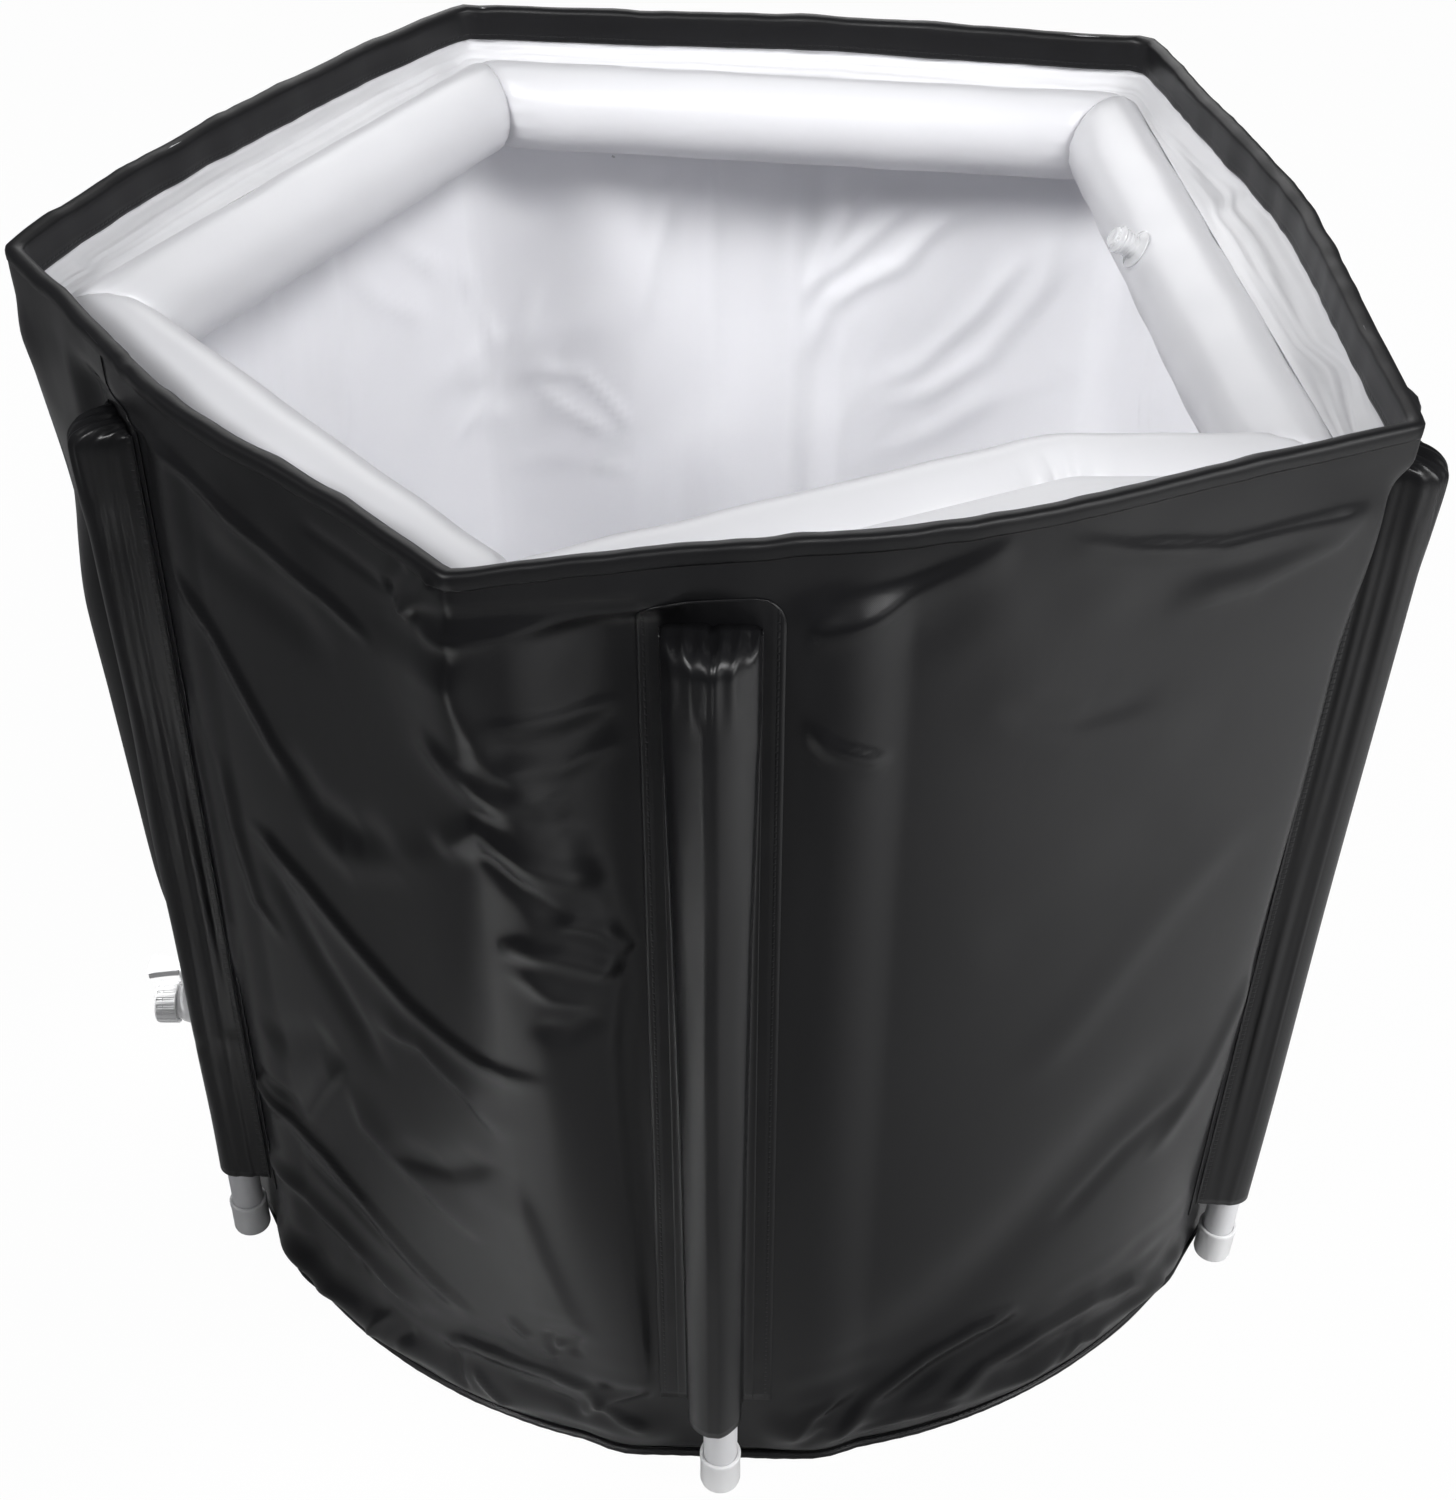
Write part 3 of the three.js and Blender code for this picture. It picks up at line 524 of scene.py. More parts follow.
FRONT_LEFT_FOLDS = (
    Fold(6.5, 9, 30, ((-109.5, 655), (-108.4, 620), (-106.4, 585), (-104.4, 560), (-102.6, 515),
         (-100.6, 470), (-100.2, 425), (-100.8, 380), (-100.6, 300), (-99.9, 180), (-98.8, 60)), 0.04),
    Fold(4, 7, 10, ((-112.5, 596), (-107.8, 570), (-103.2, 556))),
    Fold(4.5, 6, 9, ((-112.6, 514), (-108.2, 543), (-104.2, 521), (-100.2, 496)), 0.18),
    Fold(3, 4, 5, ((-103.4, 482), (-100.4, 467), (-98.3, 446)), 0.18),
    Fold(4, 5, 9, ((-107.8, 468), (-103.4, 457), (-99.2, 434)), 0.18),
    Fold(2.5, 7, 6, ((-107.4, 452), (-103.8, 426), (-100.4, 415))),
    Fold(-4, 5, 6, ((-108.6, 530), (-105, 501), (-102.8, 476)), 0.2),
    Fold(-3.5, 6, 6, ((-106.8, 582), (-104, 548), (-101.6, 530))),
    Fold(-3, 8, 7, ((-106, 407), (-103, 397), (-100.6, 409))),
    Fold(2.8, 4, 8, ((-143.4, 597), (-137, 563), (-131.8, 520), (-127.6, 482))),
    Fold(-3.5, 12, 11, ((-131, 518), (-125.8, 488), (-121, 486), (-116, 505))),
    Fold(2.2, 10, 12, ((-129, 472), (-123, 462), (-117, 485), (-111.8, 519))),
    Fold(3.4, 5, 11, ((-138, 433), (-133.8, 434), (-129, 420), (-124.2, 400), (-117.8, 377), (-111, 365),
         (-104, 358)), 0.15),
    Fold(-3.4, 10, 12, ((-137.4, 418), (-133.8, 405), (-129, 361), (-124.6, 326), (-121.6, 292))),
    Fold(2.4, 6, 7, ((-139.6, 480), (-139.4, 423), (-137.8, 371), (-133.6, 350))),
    Fold(3.6, 13, 6, ((-123.5, 338), (-117, 349), (-111.8, 329), (-108.4, 298))),
    Fold(-3, 8, 14, ((-109.6, 282), (-116, 244), (-124, 226))),
    Fold(3.6, 13, 5, ((-136.4, 186), (-132, 240), (-127.8, 284))),
    Fold(-3.2, 14, 16, ((-141, 244), (-134.6, 272), (-128.6, 296))),
    Fold(2.6, 18, 8, ((-127.8, 270), (-126, 236), (-119, 214), (-112, 190))),
    Fold(2.8, 7, 22, ((-109.4, 275), (-107.2, 200), (-105.2, 140), (-102.8, 114))),
    Fold(4.2, 7, 5, ((-144.8, 520), (-144.2, 425), (-144.2, 330), (-146, 262), (-148, 226))),
    Fold(3.6, 4, 10, ((-150, 158), (-147.4, 172), (-144.5, 181), (-139.4, 181), (-133, 174), (-128, 158),
         (-122, 128), (-115, 100)), 0.12),
    Fold(-2.8, 7, 4, ((-148.6, 180), (-144, 196), (-137, 200))),
    Fold(-2, 4, 5, ((-139, 150), (-131, 143), (-124, 122))),
    Fold(4.8, 10, 4, ((-160, 70), (-153, 96), (-147, 107), (-139.4, 109), (-133, 106), (-129, 97),
         (-125, 83), (-121.4, 70)), 0.12),
    Fold(-3.4, 6, 12, ((-152, 78), (-142, 92), (-133, 86), (-127, 68))),
    Fold(3, 5, 8, ((-139.5, 14), (-135, 34), (-130, 42))),
    Fold(3.4, 4, 4, ((-129.2, 22), (-128, 42), (-125.6, 58))),
    Fold(-3, 4, 4, ((-126.6, 24), (-125, 40), (-123, 50))),
    Fold(4.6, 5, 9, ((-120.2, 56), (-117, 71), (-113, 75), (-107.8, 74), (-102.8, 60)), 0.15),
    Fold(-4, 4, 4, ((-118.8, 58), (-117.6, 36), (-116.6, 22))),
    Fold(3, 4, 4, ((-116.4, 50), (-114, 34), (-112, 22))),
    Fold(-3, 5, 5, ((-112.4, 52), (-107, 46), (-104, 28))),
    Fold(3.4, 4, 5, ((-105.8, 30), (-102.6, 58), (-98.2, 74))),
    Fold(3, 4, 5, ((-104.6, 62), (-101, 40), (-97.8, 32))),
    Fold(-3, 4, 4, ((-107.4, 122), (-107, 96))),
    Fold(2.6, 4, 4, ((-106.2, 116), (-107.8, 90))),
    Fold(-2.6, 4, 4, ((-104.8, 124), (-105, 98))),
    Fold(2.2, 4, 4, ((-111.6, 120), (-109.4, 104))),
    Fold(2.6, 3.5, 5, ((-156, 634), (-149, 662), (-145, 666), (-139.4, 666), (-133.8, 657), (-129, 648),
         (-121, 637), (-115.6, 627)), 0.1),
    Fold(-2, 5, 3.5, ((-124, 673), (-118, 671), (-112.6, 667))),
    Fold(5, 4, 4, ((-112.8, 660), (-111, 674), (-109, 692)), 0.08),
    Fold(-4, 4, 4, ((-113.8, 668), (-111.8, 690)), 0.1),
    Fold(-3.4, 4, 4, ((-112, 662), (-108.2, 675), (-101, 673), (-96.4, 670)), 0.08),
    Fold(2.6, 4, 6, ((-111.4, 657), (-105, 663), (-99, 666), (-94, 672)), 0.1),
    Fold(2, 4, 6, ((-107.6, 612), (-102.6, 606), (-98.4, 608))),
    Fold(2, 5, 6, ((-106.8, 588), (-102.6, 575), (-98.2, 583))),
    Fold(-1.8, 6, 6, ((-107.4, 600), (-102.6, 592), (-98.2, 596))),
    Fold(-2.2, 14, 16, ((-140, 628), (-130, 618), (-120, 604))),
    Fold(2.4, 9, 8, ((-149, 640), (-148, 600), (-146, 560))),
    Fold(16, 26, 30, ((-163.5, 625), (-164, 470), (-163, 300), (-161, 130)), 0.3),
)
FRONT_RIGHT_FOLDS = (
    Fold(3, 4, 10, ((-88.6, 640), (-85, 650), (-81, 658), (-76, 672), (-70.5, 685)), 0.12),
    Fold(-2.2, 6, 5, ((-86, 660), (-79, 673), (-73, 684))),
    Fold(2, 3.5, 8, ((-67.4, 682), (-61.4, 667), (-53, 653), (-41, 655)), 0.12),
    Fold(3.2, 4, 7, ((-88.2, 608), (-83.8, 583), (-79, 568)), 0.2),
    Fold(-5, 30, 26, ((-84, 50), (-70.5, 125), (-61.4, 186), (-50.2, 266), (-43, 290))),
    Fold(4.4, 5, 8, ((-82.5, 12), (-77.5, 52), (-71.9, 82), (-67, 97), (-62, 101)), 0.15),
    Fold(-4.8, 8, 8, ((-77, 34), (-69, 70), (-60.5, 90))),
    Fold(4.6, 5, 12, ((-71.4, 26), (-65.6, 56), (-60, 67), (-53, 69), (-47.4, 58), (-42.5, 34),
         (-39, 12)), 0.12),
    Fold(-3.2, 7, 7, ((-65, 34), (-56, 46), (-48, 36))),
    Fold(2.8, 4, 4, ((-86, 20), (-83, 50), (-80, 64))),
    Fold(-2.4, 4, 4, ((-84.4, 16), (-81.6, 40))),
    Fold(2.4, 4, 5, ((-80.5, 18), (-74, 30), (-67, 26))),
    Fold(2.2, 4, 4, ((-58, 18), (-54, 34), (-50, 22))),
    Fold(1.8, 24, 26, ((-74, 610), (-64, 560), (-50, 540))),
    Fold(-1.6, 9, 9, ((-72, 588), (-64, 570), (-56, 572))),
    Fold(-2, 30, 32, ((-52, 500), (-60, 440), (-72, 420))),
    Fold(1.8, 16, 18, ((-44, 470), (-52, 420), (-66, 300))),
    Fold(2.6, 6, 14, ((-41, 660), (-44, 640), (-50, 626), (-58, 624))),
    Fold(-2.4, 8, 8, ((-44, 240), (-52, 208), (-60, 160))),
    Fold(2.4, 12, 7, ((-39.5, 330), (-43, 250), (-49, 180))),
)
FAR_FOLDS = (
    Fold(2.5, 7, 15, ((-26, 640), (-17, 612), (-6, 596))),
    Fold(-3, 20, 24, ((-24, 520), (-10, 440), (4, 420))),
    Fold(3.5, 12, 24, ((-24, 120), (-12, 164), (4, 172), (20, 130))),
    Fold(4, 8, 14, ((-22, 30), (-12, 66), (2, 74), (14, 46))),
    Fold(5, 26, 12, ((-38.5, 668), (-37.5, 560), (-36.9, 420)), 0.2),
    Fold(5, 12, 26, ((47.3, 672), (46, 590), (42, 500)), 0.2),
    Fold(3, 8, 18, ((36, 636), (41, 600), (44, 540))),
    Fold(3, 16, 8, ((60, 640), (54, 590), (50, 520))),
    Fold(-3, 22, 22, ((60, 420), (72, 380), (78, 300))),
    Fold(4, 12, 24, ((40, 110), (52, 168), (66, 172), (80, 120))),
    Fold(3.5, 7, 14, ((50, 24), (60, 66), (72, 62), (80, 26))),
    Fold(2.5, 8, 16, ((98, 610), (106, 580), (114, 592))),
    Fold(-3, 22, 24, ((100, 470), (116, 420), (136, 440))),
    Fold(5, 14, 24, ((118.8, 672), (117, 600), (112, 520)), 0.2),
    Fold(3.5, 11, 22, ((98, 120), (112, 162), (128, 170), (142, 130))),
    Fold(4, 8, 14, ((104, 30), (116, 70), (130, 66), (138, 30))),
    Fold(5, 22, 12, ((188.3, 672), (187, 590), (184, 500)), 0.2),
    Fold(2.5, 8, 16, ((158, 640), (168, 606), (180, 610))),
    Fold(-3, 20, 22, ((160, 330), (172, 380), (184, 400))),
    Fold(3.5, 12, 22, ((156, 150), (166, 190), (180, 200), (194, 172))),
    Fold(3, 8, 12, ((190, 40), (198, 74), (204, 60))),
)


class Side(Enum):
    """A side of a pole, for someone going round the tub towards larger azimuths."""

    BEFORE = "before"
    AFTER = "after"


@dataclass
class Wall:
    """The wall's outer surface, as the ring, the poles and the base hold it.

    Attributes:
        circle: Reach of the poles' feet.
        stack: Distance from a pole's axis to the wall behind it.
        base: Reach of the wall's foot.
        build: Thickness of the wall with its foam and liner.
        leans: Reach of each pole's top, as a share of the circle.
        corners: Azimuth of each of the ring's corners.
        corner_shares: Reach of the rim at each corner, as a share of the circle.
        waist_shares: The same half way to the next corner.
        sharpness: How sharply the rim draws in on the way there.
        hold: Degrees from a pole over which it lets go of the cloth.
        snug_holds: The same on the sides of poles where the cloth is drawn in closer.
        hollow_share: Depth of the hollows against what their table says.
        overhang: How far the cloth bellies out over its foot.
        overhangs: More of it: distance, azimuth and half width in degrees.
        foot_tuck: How far the cloth is drawn in under the overhang.
    """

    height: float = 0.698
    circle: float = 0.4
    stack: float = 0.0148
    base: float = 0.3852
    sleeve_top: float = 0.650
    foot: float = 0.0059
    hem_foot: float = 0.6765
    top: float = 0.6967
    build: float = 0.0066
    first_pole: float = -151.6
    leans: tuple[float, ...] = (1.005, 1.01, 1.0525, 0.98, 0.975, 0.99)
    corners: tuple[float, ...] = (-108.1, -38.5, 47.3, 118.8, 188.3)
    corner_shares: tuple[float, ...] = (1.1025, 1.085, 1.09, 1.1025, 1.0875)
    waist_shares: tuple[float, ...] = (0.9625, 0.8575, 0.92, 0.9475, 0.975)
    sharpness: tuple[float, ...] = (3, 2.6, 2.6, 2, 3)
    hold: tuple[float, float] = (7.6, 13.8)
    snug_holds: dict[tuple[int, Side], tuple[float, float]] = field(
        default_factory=lambda: {(0, Side.BEFORE): (5.6, 10.0), (2, Side.BEFORE): (5.4, 9.2)})
    drain_turn: float = 180
    hollow_share: float = 0.75
    overhang: float = 0.0036
    overhangs: tuple[tuple[float, float, float], ...] = ((0.0052, -131, 17), (0.0022, -58, 16))
    overhang_level: float = 0.031
    overhang_spread: float = 0.0145
    foot_tuck: float = 0.0055
    folds: tuple[Fold, ...] = FRONT_LEFT_FOLDS + FRONT_RIGHT_FOLDS + FAR_FOLDS

    def poles(self) -> list[float]:
        """Azimuth of each pole."""
        return [self.first_pole + 60 * i for i in range(len(self.leans))]

    def lean(self, index: int) -> float:
        """How far a pole leans out, in radians."""
        return math.atan2(self.circle * (self.leans[index] - 1), self.sleeve_top)

    def rim(self, turn: Array, blunt: Array | float = 0.25) -> Array:
        """Reach of the rim: pushed out at the ring's corners, slack between them.

        Args:
            turn: Azimuth, in degrees.
            blunt: Over how many degrees a corner is rounded off.

        Returns:
            The reach, in metres.
        """
        reach = np.zeros(np.broadcast(turn, blunt).shape)
        for i, corner in enumerate(self.corners):
            after = (i + 1) % len(self.corners)
            width = (self.corners[after] - corner) % 360
            along = ((turn - corner) % 360) / width
            inside = along < 1
            edge = self.corner_shares[i] + (self.corner_shares[after] - self.corner_shares[i]) * along
            far = np.hypot(np.where(along < 0.5, along, 1 - along) * width, blunt)
            push = np.clip(1 - 2 * far / width, 0, 1) ** self.sharpness[i]
            share = self.waist_shares[i] + (edge - self.waist_shares[i]) * push
            reach = np.where(inside & (reach == 0), self.circle * share, reach)
        return reach

    def plain(self, turn: Array, height: Array) -> Array:
        """Reach of the wall before its folds.

        Args:
            turn: Azimuth of each place, in degrees.
            height: Height of each place, in metres.

        Returns:
            The reach, in metres.
        """
        rise = np.sin(math.pi / 2 * np.clip(height / self.height, 0, 1))
        blunt = 0.25 + 3.4 * (1 - fade(height, 0.54, 0.69))
        free = self.base + (self.rim(turn, blunt) - self.base) * rise
        for index, pole in enumerate(self.poles()):
            lean = self.lean(index)
            line = self.circle + math.tan(lean) * height - self.stack / math.cos(lean)
            side = apart(turn, pole)
            off = np.abs(side)
            flat = line / np.cos(np.radians(np.minimum(off, 20)))
            before, after = (1 - fade(off, *self.snug_holds.get((index, way), self.hold)) for way in Side)
            hold = np.where(side < 0, before, after)
            hold = hold * (1 - fade(height, self.sleeve_top + 0.002, self.sleeve_top + 0.027))
            free = free + (flat - free) * hold
        seat = self.base / np.cos(np.radians(apart(turn, self.drain_turn)))
        return free + (seat - free) * self.clamp(turn, height, (3.9, 7.5), (0.07, 0.19))

    def clamp(self, turn: Array, height: Array, turns: tuple[float, float],
              heights: tuple[float, float]) -> Array:
        """1 where the drain clamps the cloth flat, dying away over turns and heights."""
        off = np.abs(apart(turn, self.drain_turn))
        return (1 - fade(off, *turns)) * (1 - fade(height, *heights))

    def loose(self, turn: Array, height: Array) -> Array:
        """How free the cloth is to fold.

        Args:
            turn: Azimuth of each place, in degrees.
            height: Height of each place, in metres.

        Returns:
            1 where it is free, 0 under the sleeves and the drain and at the foot, a half under the hem.
        """
        free = fade(height, self.foot, 0.03) * (1 - fade(height, 0.66, 0.68) * 0.5)
        for pole in self.poles():
            under = 1 - fade(height, self.sleeve_top + 0.004, self.sleeve_top + 0.02)
            free = free * (1 - (1 - fade(np.abs(apart(turn, pole)), 5.3, 7.2)) * under)
        return free * (1 - self.clamp(turn, height, (4.2, 8.0), (0.075, 0.14)))

    def reach(self, turn: Array, height: Array) -> Array:
        """Reach of the folded wall.

        Args:
            turn: Azimuth of each place, in degrees.
            height: Height of each place, in metres.

        Returns:
            The reach, in metres.
        """
        along = np.radians(turn) * self.base
        push = sum(fold.push(turn, height) * (1 if fold.depth > 0 else self.hollow_share)
                   for fold in self.folds)
        low = 1 - fade(height, 0.02, 0.13)
        push = push + 0.0007 * lumps(along, height, 0.085, 3)
        push = push + 0.0011 * low * lumps(along, height, 0.03, 5, 0.6)
        high = fade(height, 0.60, 0.66)
        push = push + 0.0008 * high * lumps(along, height, 0.024, 8, 1.6)
        clear = fade(np.abs(apart(turn, self.drain_turn)), 4.5, 8.5)
        for pole in self.poles():
            clear = clear * fade(np.abs(apart(turn, pole)), 2.9, 6.0)
        sag = 1 + 0.3 * lumps(along, 0 * height, 0.06, 12)
        more = (extra * np.exp(-(apart(turn, at) / wide) ** 4) for extra, at, wide in self.overhangs)
        full = sum(more, self.overhang)
        belly = full * clear * sag * np.exp(-((height - self.overhang_level) / self.overhang_spread) ** 2)
        tuck = self.foot_tuck * (1 - fade(height, 0.0085, 0.0125))
        return self.plain(turn, height) + push * self.loose(turn, height) + belly - tuck


def even_turns(fine: float, coarse: float) -> Array:
    """Azimuths all the way round, close together in front and wider apart behind.

    Args:
        fine: Step in front, in degrees.
        coarse: Step behind, in degrees.

    Returns:
        The azimuths.
    """
    front = np.arange(-178, -8, fine)
    back = np.linspace(-8, 182, int(190 / coarse), endpoint=False)
    return np.concatenate([front, back])


def pick_up(piece: bpy.types.Object, *others: bpy.types.Object) -> None:
    """Selects pieces and nothing else.

    Args:
        piece: The piece that becomes active.
        others: More pieces to select.
    """
    bpy.ops.object.select_all(action="DESELECT")
    for each in (piece, *others):
        each.select_set(True)
    bpy.context.view_layer.objects.active = piece


class Sewing:
    """Makes sheets of cloth from grids of points."""

    @staticmethod
    def sheet(name: str, points: Array, places: Array, closed: bool, thick: float) -> bpy.types.Object:
        """Makes one sheet.

        Args:
            name: Name of the piece.
            points: Rows of points, the face side seen with rows going up and points going right.
            places: The cloth's own coordinates, one more column than points where it is closed.
            closed: Whether each row joins its end to its start.
            thick: Thickness of the cloth, taken behind the face.

        Returns:
            The sheet, with its place in its mesh.
        """
        rows, columns = points.shape[:2]
        span = columns if closed else columns - 1
        row, column = np.meshgrid(np.arange(rows - 1), np.arange(span), indexing="ij")
        row, column = row.ravel(), column.ravel()
        after = (column + 1) % columns
        faces = np.stack([row * columns + column, row * columns + after,
                          (row + 1) * columns + after, (row + 1) * columns + column], -1)
        marks = np.stack([places[row, column], places[row, column + 1],
                          places[row + 1, column + 1], places[row + 1, column]], 1)
        mesh = bpy.data.meshes.new(name)
        mesh.from_pydata(points.reshape(-1, 3).tolist(), [], faces.tolist())
        mesh.uv_layers.new(name="cloth").data.foreach_set("uv", marks.ravel().astype(np.float32))
        mesh.polygons.foreach_set("use_smooth", np.ones(len(faces), bool))
        piece = bpy.data.objects.new(name, mesh)
        bpy.context.scene.collection.objects.link(piece)
        if thick:
            Sewing.finish(piece, "SOLIDIFY", thickness=thick, offset=-1.0)
            bpy.ops.object.shade_smooth_by_angle(angle=math.radians(62))
        return piece

    @staticmethod
    def finish(piece: bpy.types.Object, kind: str, **settings: object) -> None:
        """Adds a modifier to a piece and applies it.

        Args:
            piece: The piece.
            kind: The modifier's type.
            settings: Its properties.
        """
        pick_up(piece)
        modifier = piece.modifiers.new(kind.title(), kind)
        for key, value in settings.items():
            setattr(modifier, key, value)
        bpy.ops.object.modifier_apply(modifier=modifier.name)

    @staticmethod
    def places(turns: Array, reach: float, heights: Array) -> Array:
        """Cloth coordinates of a band round the tub: metres along and metres up."""
        along = np.radians(np.append(turns, turns[0] + 360)) * reach
        return np.stack(np.meshgrid(along, heights), -1)


def dress(piece: bpy.types.Object, material: bpy.types.Material, slot: str, body: str, *nodes: str) -> None:
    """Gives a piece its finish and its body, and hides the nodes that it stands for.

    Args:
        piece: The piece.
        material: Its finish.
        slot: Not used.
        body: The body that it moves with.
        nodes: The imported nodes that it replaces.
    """
    piece.data.materials.clear()
    piece.data.materials.append(material)
    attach(piece, body)
    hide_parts(*nodes)
    log.info("%s: %d faces", piece.name, len(piece.data.polygons))


@dataclass
class ClothWall:
    """Outer cloth, foam and liner of the wall, with the hem over their top edge.

    Attributes:
        foam_gap: Slack between the outer cloth and the foam.
        hem_inside: Distance from the outer face to the hem's inside.
        flat_reach: Not used.
        step: Degrees between the places of the foam and the liner.
        liner_foot_inset: Distance of the liner's foot from the wall's.
        band_rise: Height of the ridges beside each pole in the liner.
        pole_rise: Height of the ridge over each pole.
        fold_share: Depth of the liner's folds against what their table says.
        star: Azimuth and height of the star of creases in the liner.
        bunches: Azimuths at which the hem is bunched.
    """

    wall: Wall
    finishes: Finishes
    cloth: float = 0.001
    foam: float = 0.0017
    foam_gap: float = 0.003
    hem_inside: float = 0.0096
    flat_reach: float = 0.401
    step: float = 0.8
    liner_foot_inset: float = 0.0071
    band_rise: float = 0.0026
    pole_rise: float = 0.0010
    fold_share: float = 1.6
    star: tuple[float, float] = (116, 0.39)
    bunches: tuple[float, ...] = (118.8, 47.3, 36, -148)

    def build(self) -> None:
        """Makes and dresses every layer."""
        self.outer_shell()
        self.insulation()
        self.liner()
        self.hem()

    def outer_shell(self) -> None:
        """Black outer cloth in three widths, joined under the front sleeves, with a tuck at the foot."""
        left, front, right = self.wall.poles()[:3]
        widths = {
            "left": (np.linspace(left, front, 182), 246),
            "right": (np.linspace(front, right, 168), 236),
            "back": (np.linspace(right, left + 360, 290), 118)}
        for name, (turns, count) in widths.items():
            low = np.array([0, 0.0022, 0.0042, 0.006, 0.0085, 0.0115, 0.0145]) + self.wall.foot
            heights = np.concatenate([low, np.linspace(0.023, self.wall.top, count)])
            turn, height = np.meshgrid(turns, heights)
            points = polar(self.wall.reach(turn, height), turn, height)
            places = np.stack([np.radians(turn) * self.wall.base, height], -1)
            piece = Sewing.sheet("wall_cloth_" + name, points, places, False, self.cloth)
            dress(piece, self.finishes.cloth, "black_cloth", "tub", "outer_shell")

    def behind(self, heights: Array) -> tuple[Array, Array, Array]:
        """Cloth that lies behind the outer one and bridges its sharp folds.

        Args:
            heights: Heights of its rows, in metres.

        Returns:
            Turn, height and reach of every place.
        """
        turns, levels = np.arange(0, 360, self.step), np.linspace(self.wall.foot, self.wall.top, 232)
        even = self.wall.reach(*np.meshgrid(turns, levels))
        reach = even
        for _ in range(2):
            reach = np.minimum.reduce([np.roll(reach, 1, 1), np.roll(reach, -1, 1), reach])
            below, above = np.vstack([reach[:1], reach[:-1]]), np.vstack([reach[1:], reach[-1:]])
            reach = np.minimum.reduce([below, above, reach])
        bridged = 1 - fade(levels, 0.652, 0.668)[:, None]
        reach = reach * bridged + even * (1 - bridged)
        rows = np.interp(heights, levels, np.arange(len(levels)))
        low = np.minimum(rows.astype(int), len(levels) - 2)
        share = (rows - low)[:, None]
        turn, height = np.meshgrid(turns, heights)
        return turn, height, reach[low] * (1 - share) + reach[low + 1] * share

    def insulation(self) -> None:
        """Foam layer behind the outer cloth."""
        heights = np.concatenate([np.linspace(0.0144, 0.14, 44), np.linspace(0.15, 0.688, 52)])
        turn, height, reach = self.behind(heights)
        piece = Sewing.sheet("wall_foam", polar(reach - self.cloth - self.foam_gap, turn, height),
                             Sewing.places(turn[0], self.wall.base, heights), True, self.foam)
        dress(piece, self.finishes.foam, "foam", "tub", "wall_insulation")

    def liner(self) -> None:
        """White liner, its face turned to the inside, its foot standing on the floor's edge."""
        heights = np.linspace(0.0074, self.wall.top, 108)
        turn, height, reach = self.behind(heights)
        low = fade(height, 0.010, 0.024)
        seat = self.wall.plain(turn, 0 * turn + self.wall.foot) - self.liner_foot_inset
        inner = low * (reach - self.wall.build) + (1 - low) * seat
        points = polar(inner - low * self.liner_folds(turn, height), turn, height)
        places = Sewing.places(turn[0], self.wall.base, heights)
        piece = Sewing.sheet("wall_lining", points[::-1], places[::-1], True, self.cloth)
        dress(piece, self.finishes.liner, "white_vinyl", "tub", "wall_liner")

    def liner_folds(self, turn: Array, height: Array) -> Array:
        """How far the liner stands in from the foam: folds, ridges at the poles, a star of creases.

        Args:
            turn: Azimuth of each place, in degrees.
            height: Height of each place, in metres.

        Returns:
            The distance, in metres.
        """
        push = self.fold_share * sum(fold.push(turn, height) for fold in LINER_FOLDS)
        under_hem = 1 - fade(height, 0.66, 0.68)
        for pole in self.wall.poles():
            off = np.abs(apart(turn, pole))
            push = push + self.band_rise * (fade(off, 3.9, 4.9) - fade(off, 5.1, 6.9)) * under_hem
            push = push + self.pole_rise * (1 - fade(off, 0.6, 2.4)) * under_hem
        along = np.radians(turn) * self.wall.base
        star = np.exp(-(apart(turn, self.star[0]) / 9) ** 2 - ((height - self.star[1]) / 0.09) ** 2)
        push = push + star * 0.0024 * lumps(along, height, 0.022, 21)
        push = push + 0.0007 * lumps(along, height, 0.045, 23)
        return np.maximum(push * (1 - fade(height, 0.655, 0.675)), -0.0002)

    def hem(self) -> None:
        """Black hem folded over the wall's top edge, a little puckered."""
        turns = even_turns(0.66, 1.4)
        along = np.radians(turns) * self.wall.base
        pucker = 0.0007 * lumps(along, 0 * along, 0.05, 31) + 0.0003 * lumps(along, 0 * along, 0.014, 32)
        bunch = sum(np.exp(-(apart(turns, corner) / 3.5) ** 2) for corner in self.bunches)
        ripple = pucker + 0.0011 * bunch * lumps(along, 0 * along, 0.011, 33)
        inside = self.hem_inside
        profile = [(inside, 0.6745, 1.4), (inside + 0.0003, 0.6765, 1.4), (inside, 0.6800, 1.2),
                   (inside, 0.6850, 1.0), (inside, 0.6900, 0.8), (inside, 0.6945, 0.6), (0.0086, 0.6966, 0.6),
                   (0.0055, 0.6978, 0.6), (0.0030, 0.6982, 0.6), (0.0012, 0.6980, 0.6), (0.0001, 0.6974, 0.6),
                   (-0.0007, 0.6962, 0.6), (-0.0009, 0.6940, 0.5), (-0.0008, 0.6905, 0.4),
                   (0.0003, 0.6885, 0.2)]
        rows = []
        for depth, height, sway in profile:
            outer = self.wall.reach(turns, np.full_like(turns, min(height, self.wall.top)))
            rows.append(polar(outer - depth + np.abs(ripple) * sway * np.sign(0.004 - depth), turns,
                              height + ripple * 0.9 * fade(height, 0.676, 0.69)))
        lengths = np.cumsum([0] + [math.dist(p[:2], q[:2]) for p, q in zip(profile, profile[1:])])
        places = Sewing.places(turns, self.wall.base, lengths)
        piece = Sewing.sheet("rim_binding", np.array(rows), places, True, 0)
        Sewing.finish(piece, "SOLIDIFY", thickness=0.0009, offset=1.0)
        dress(piece, self.finishes.binding, "black_trim", "tub", "rim_hem")


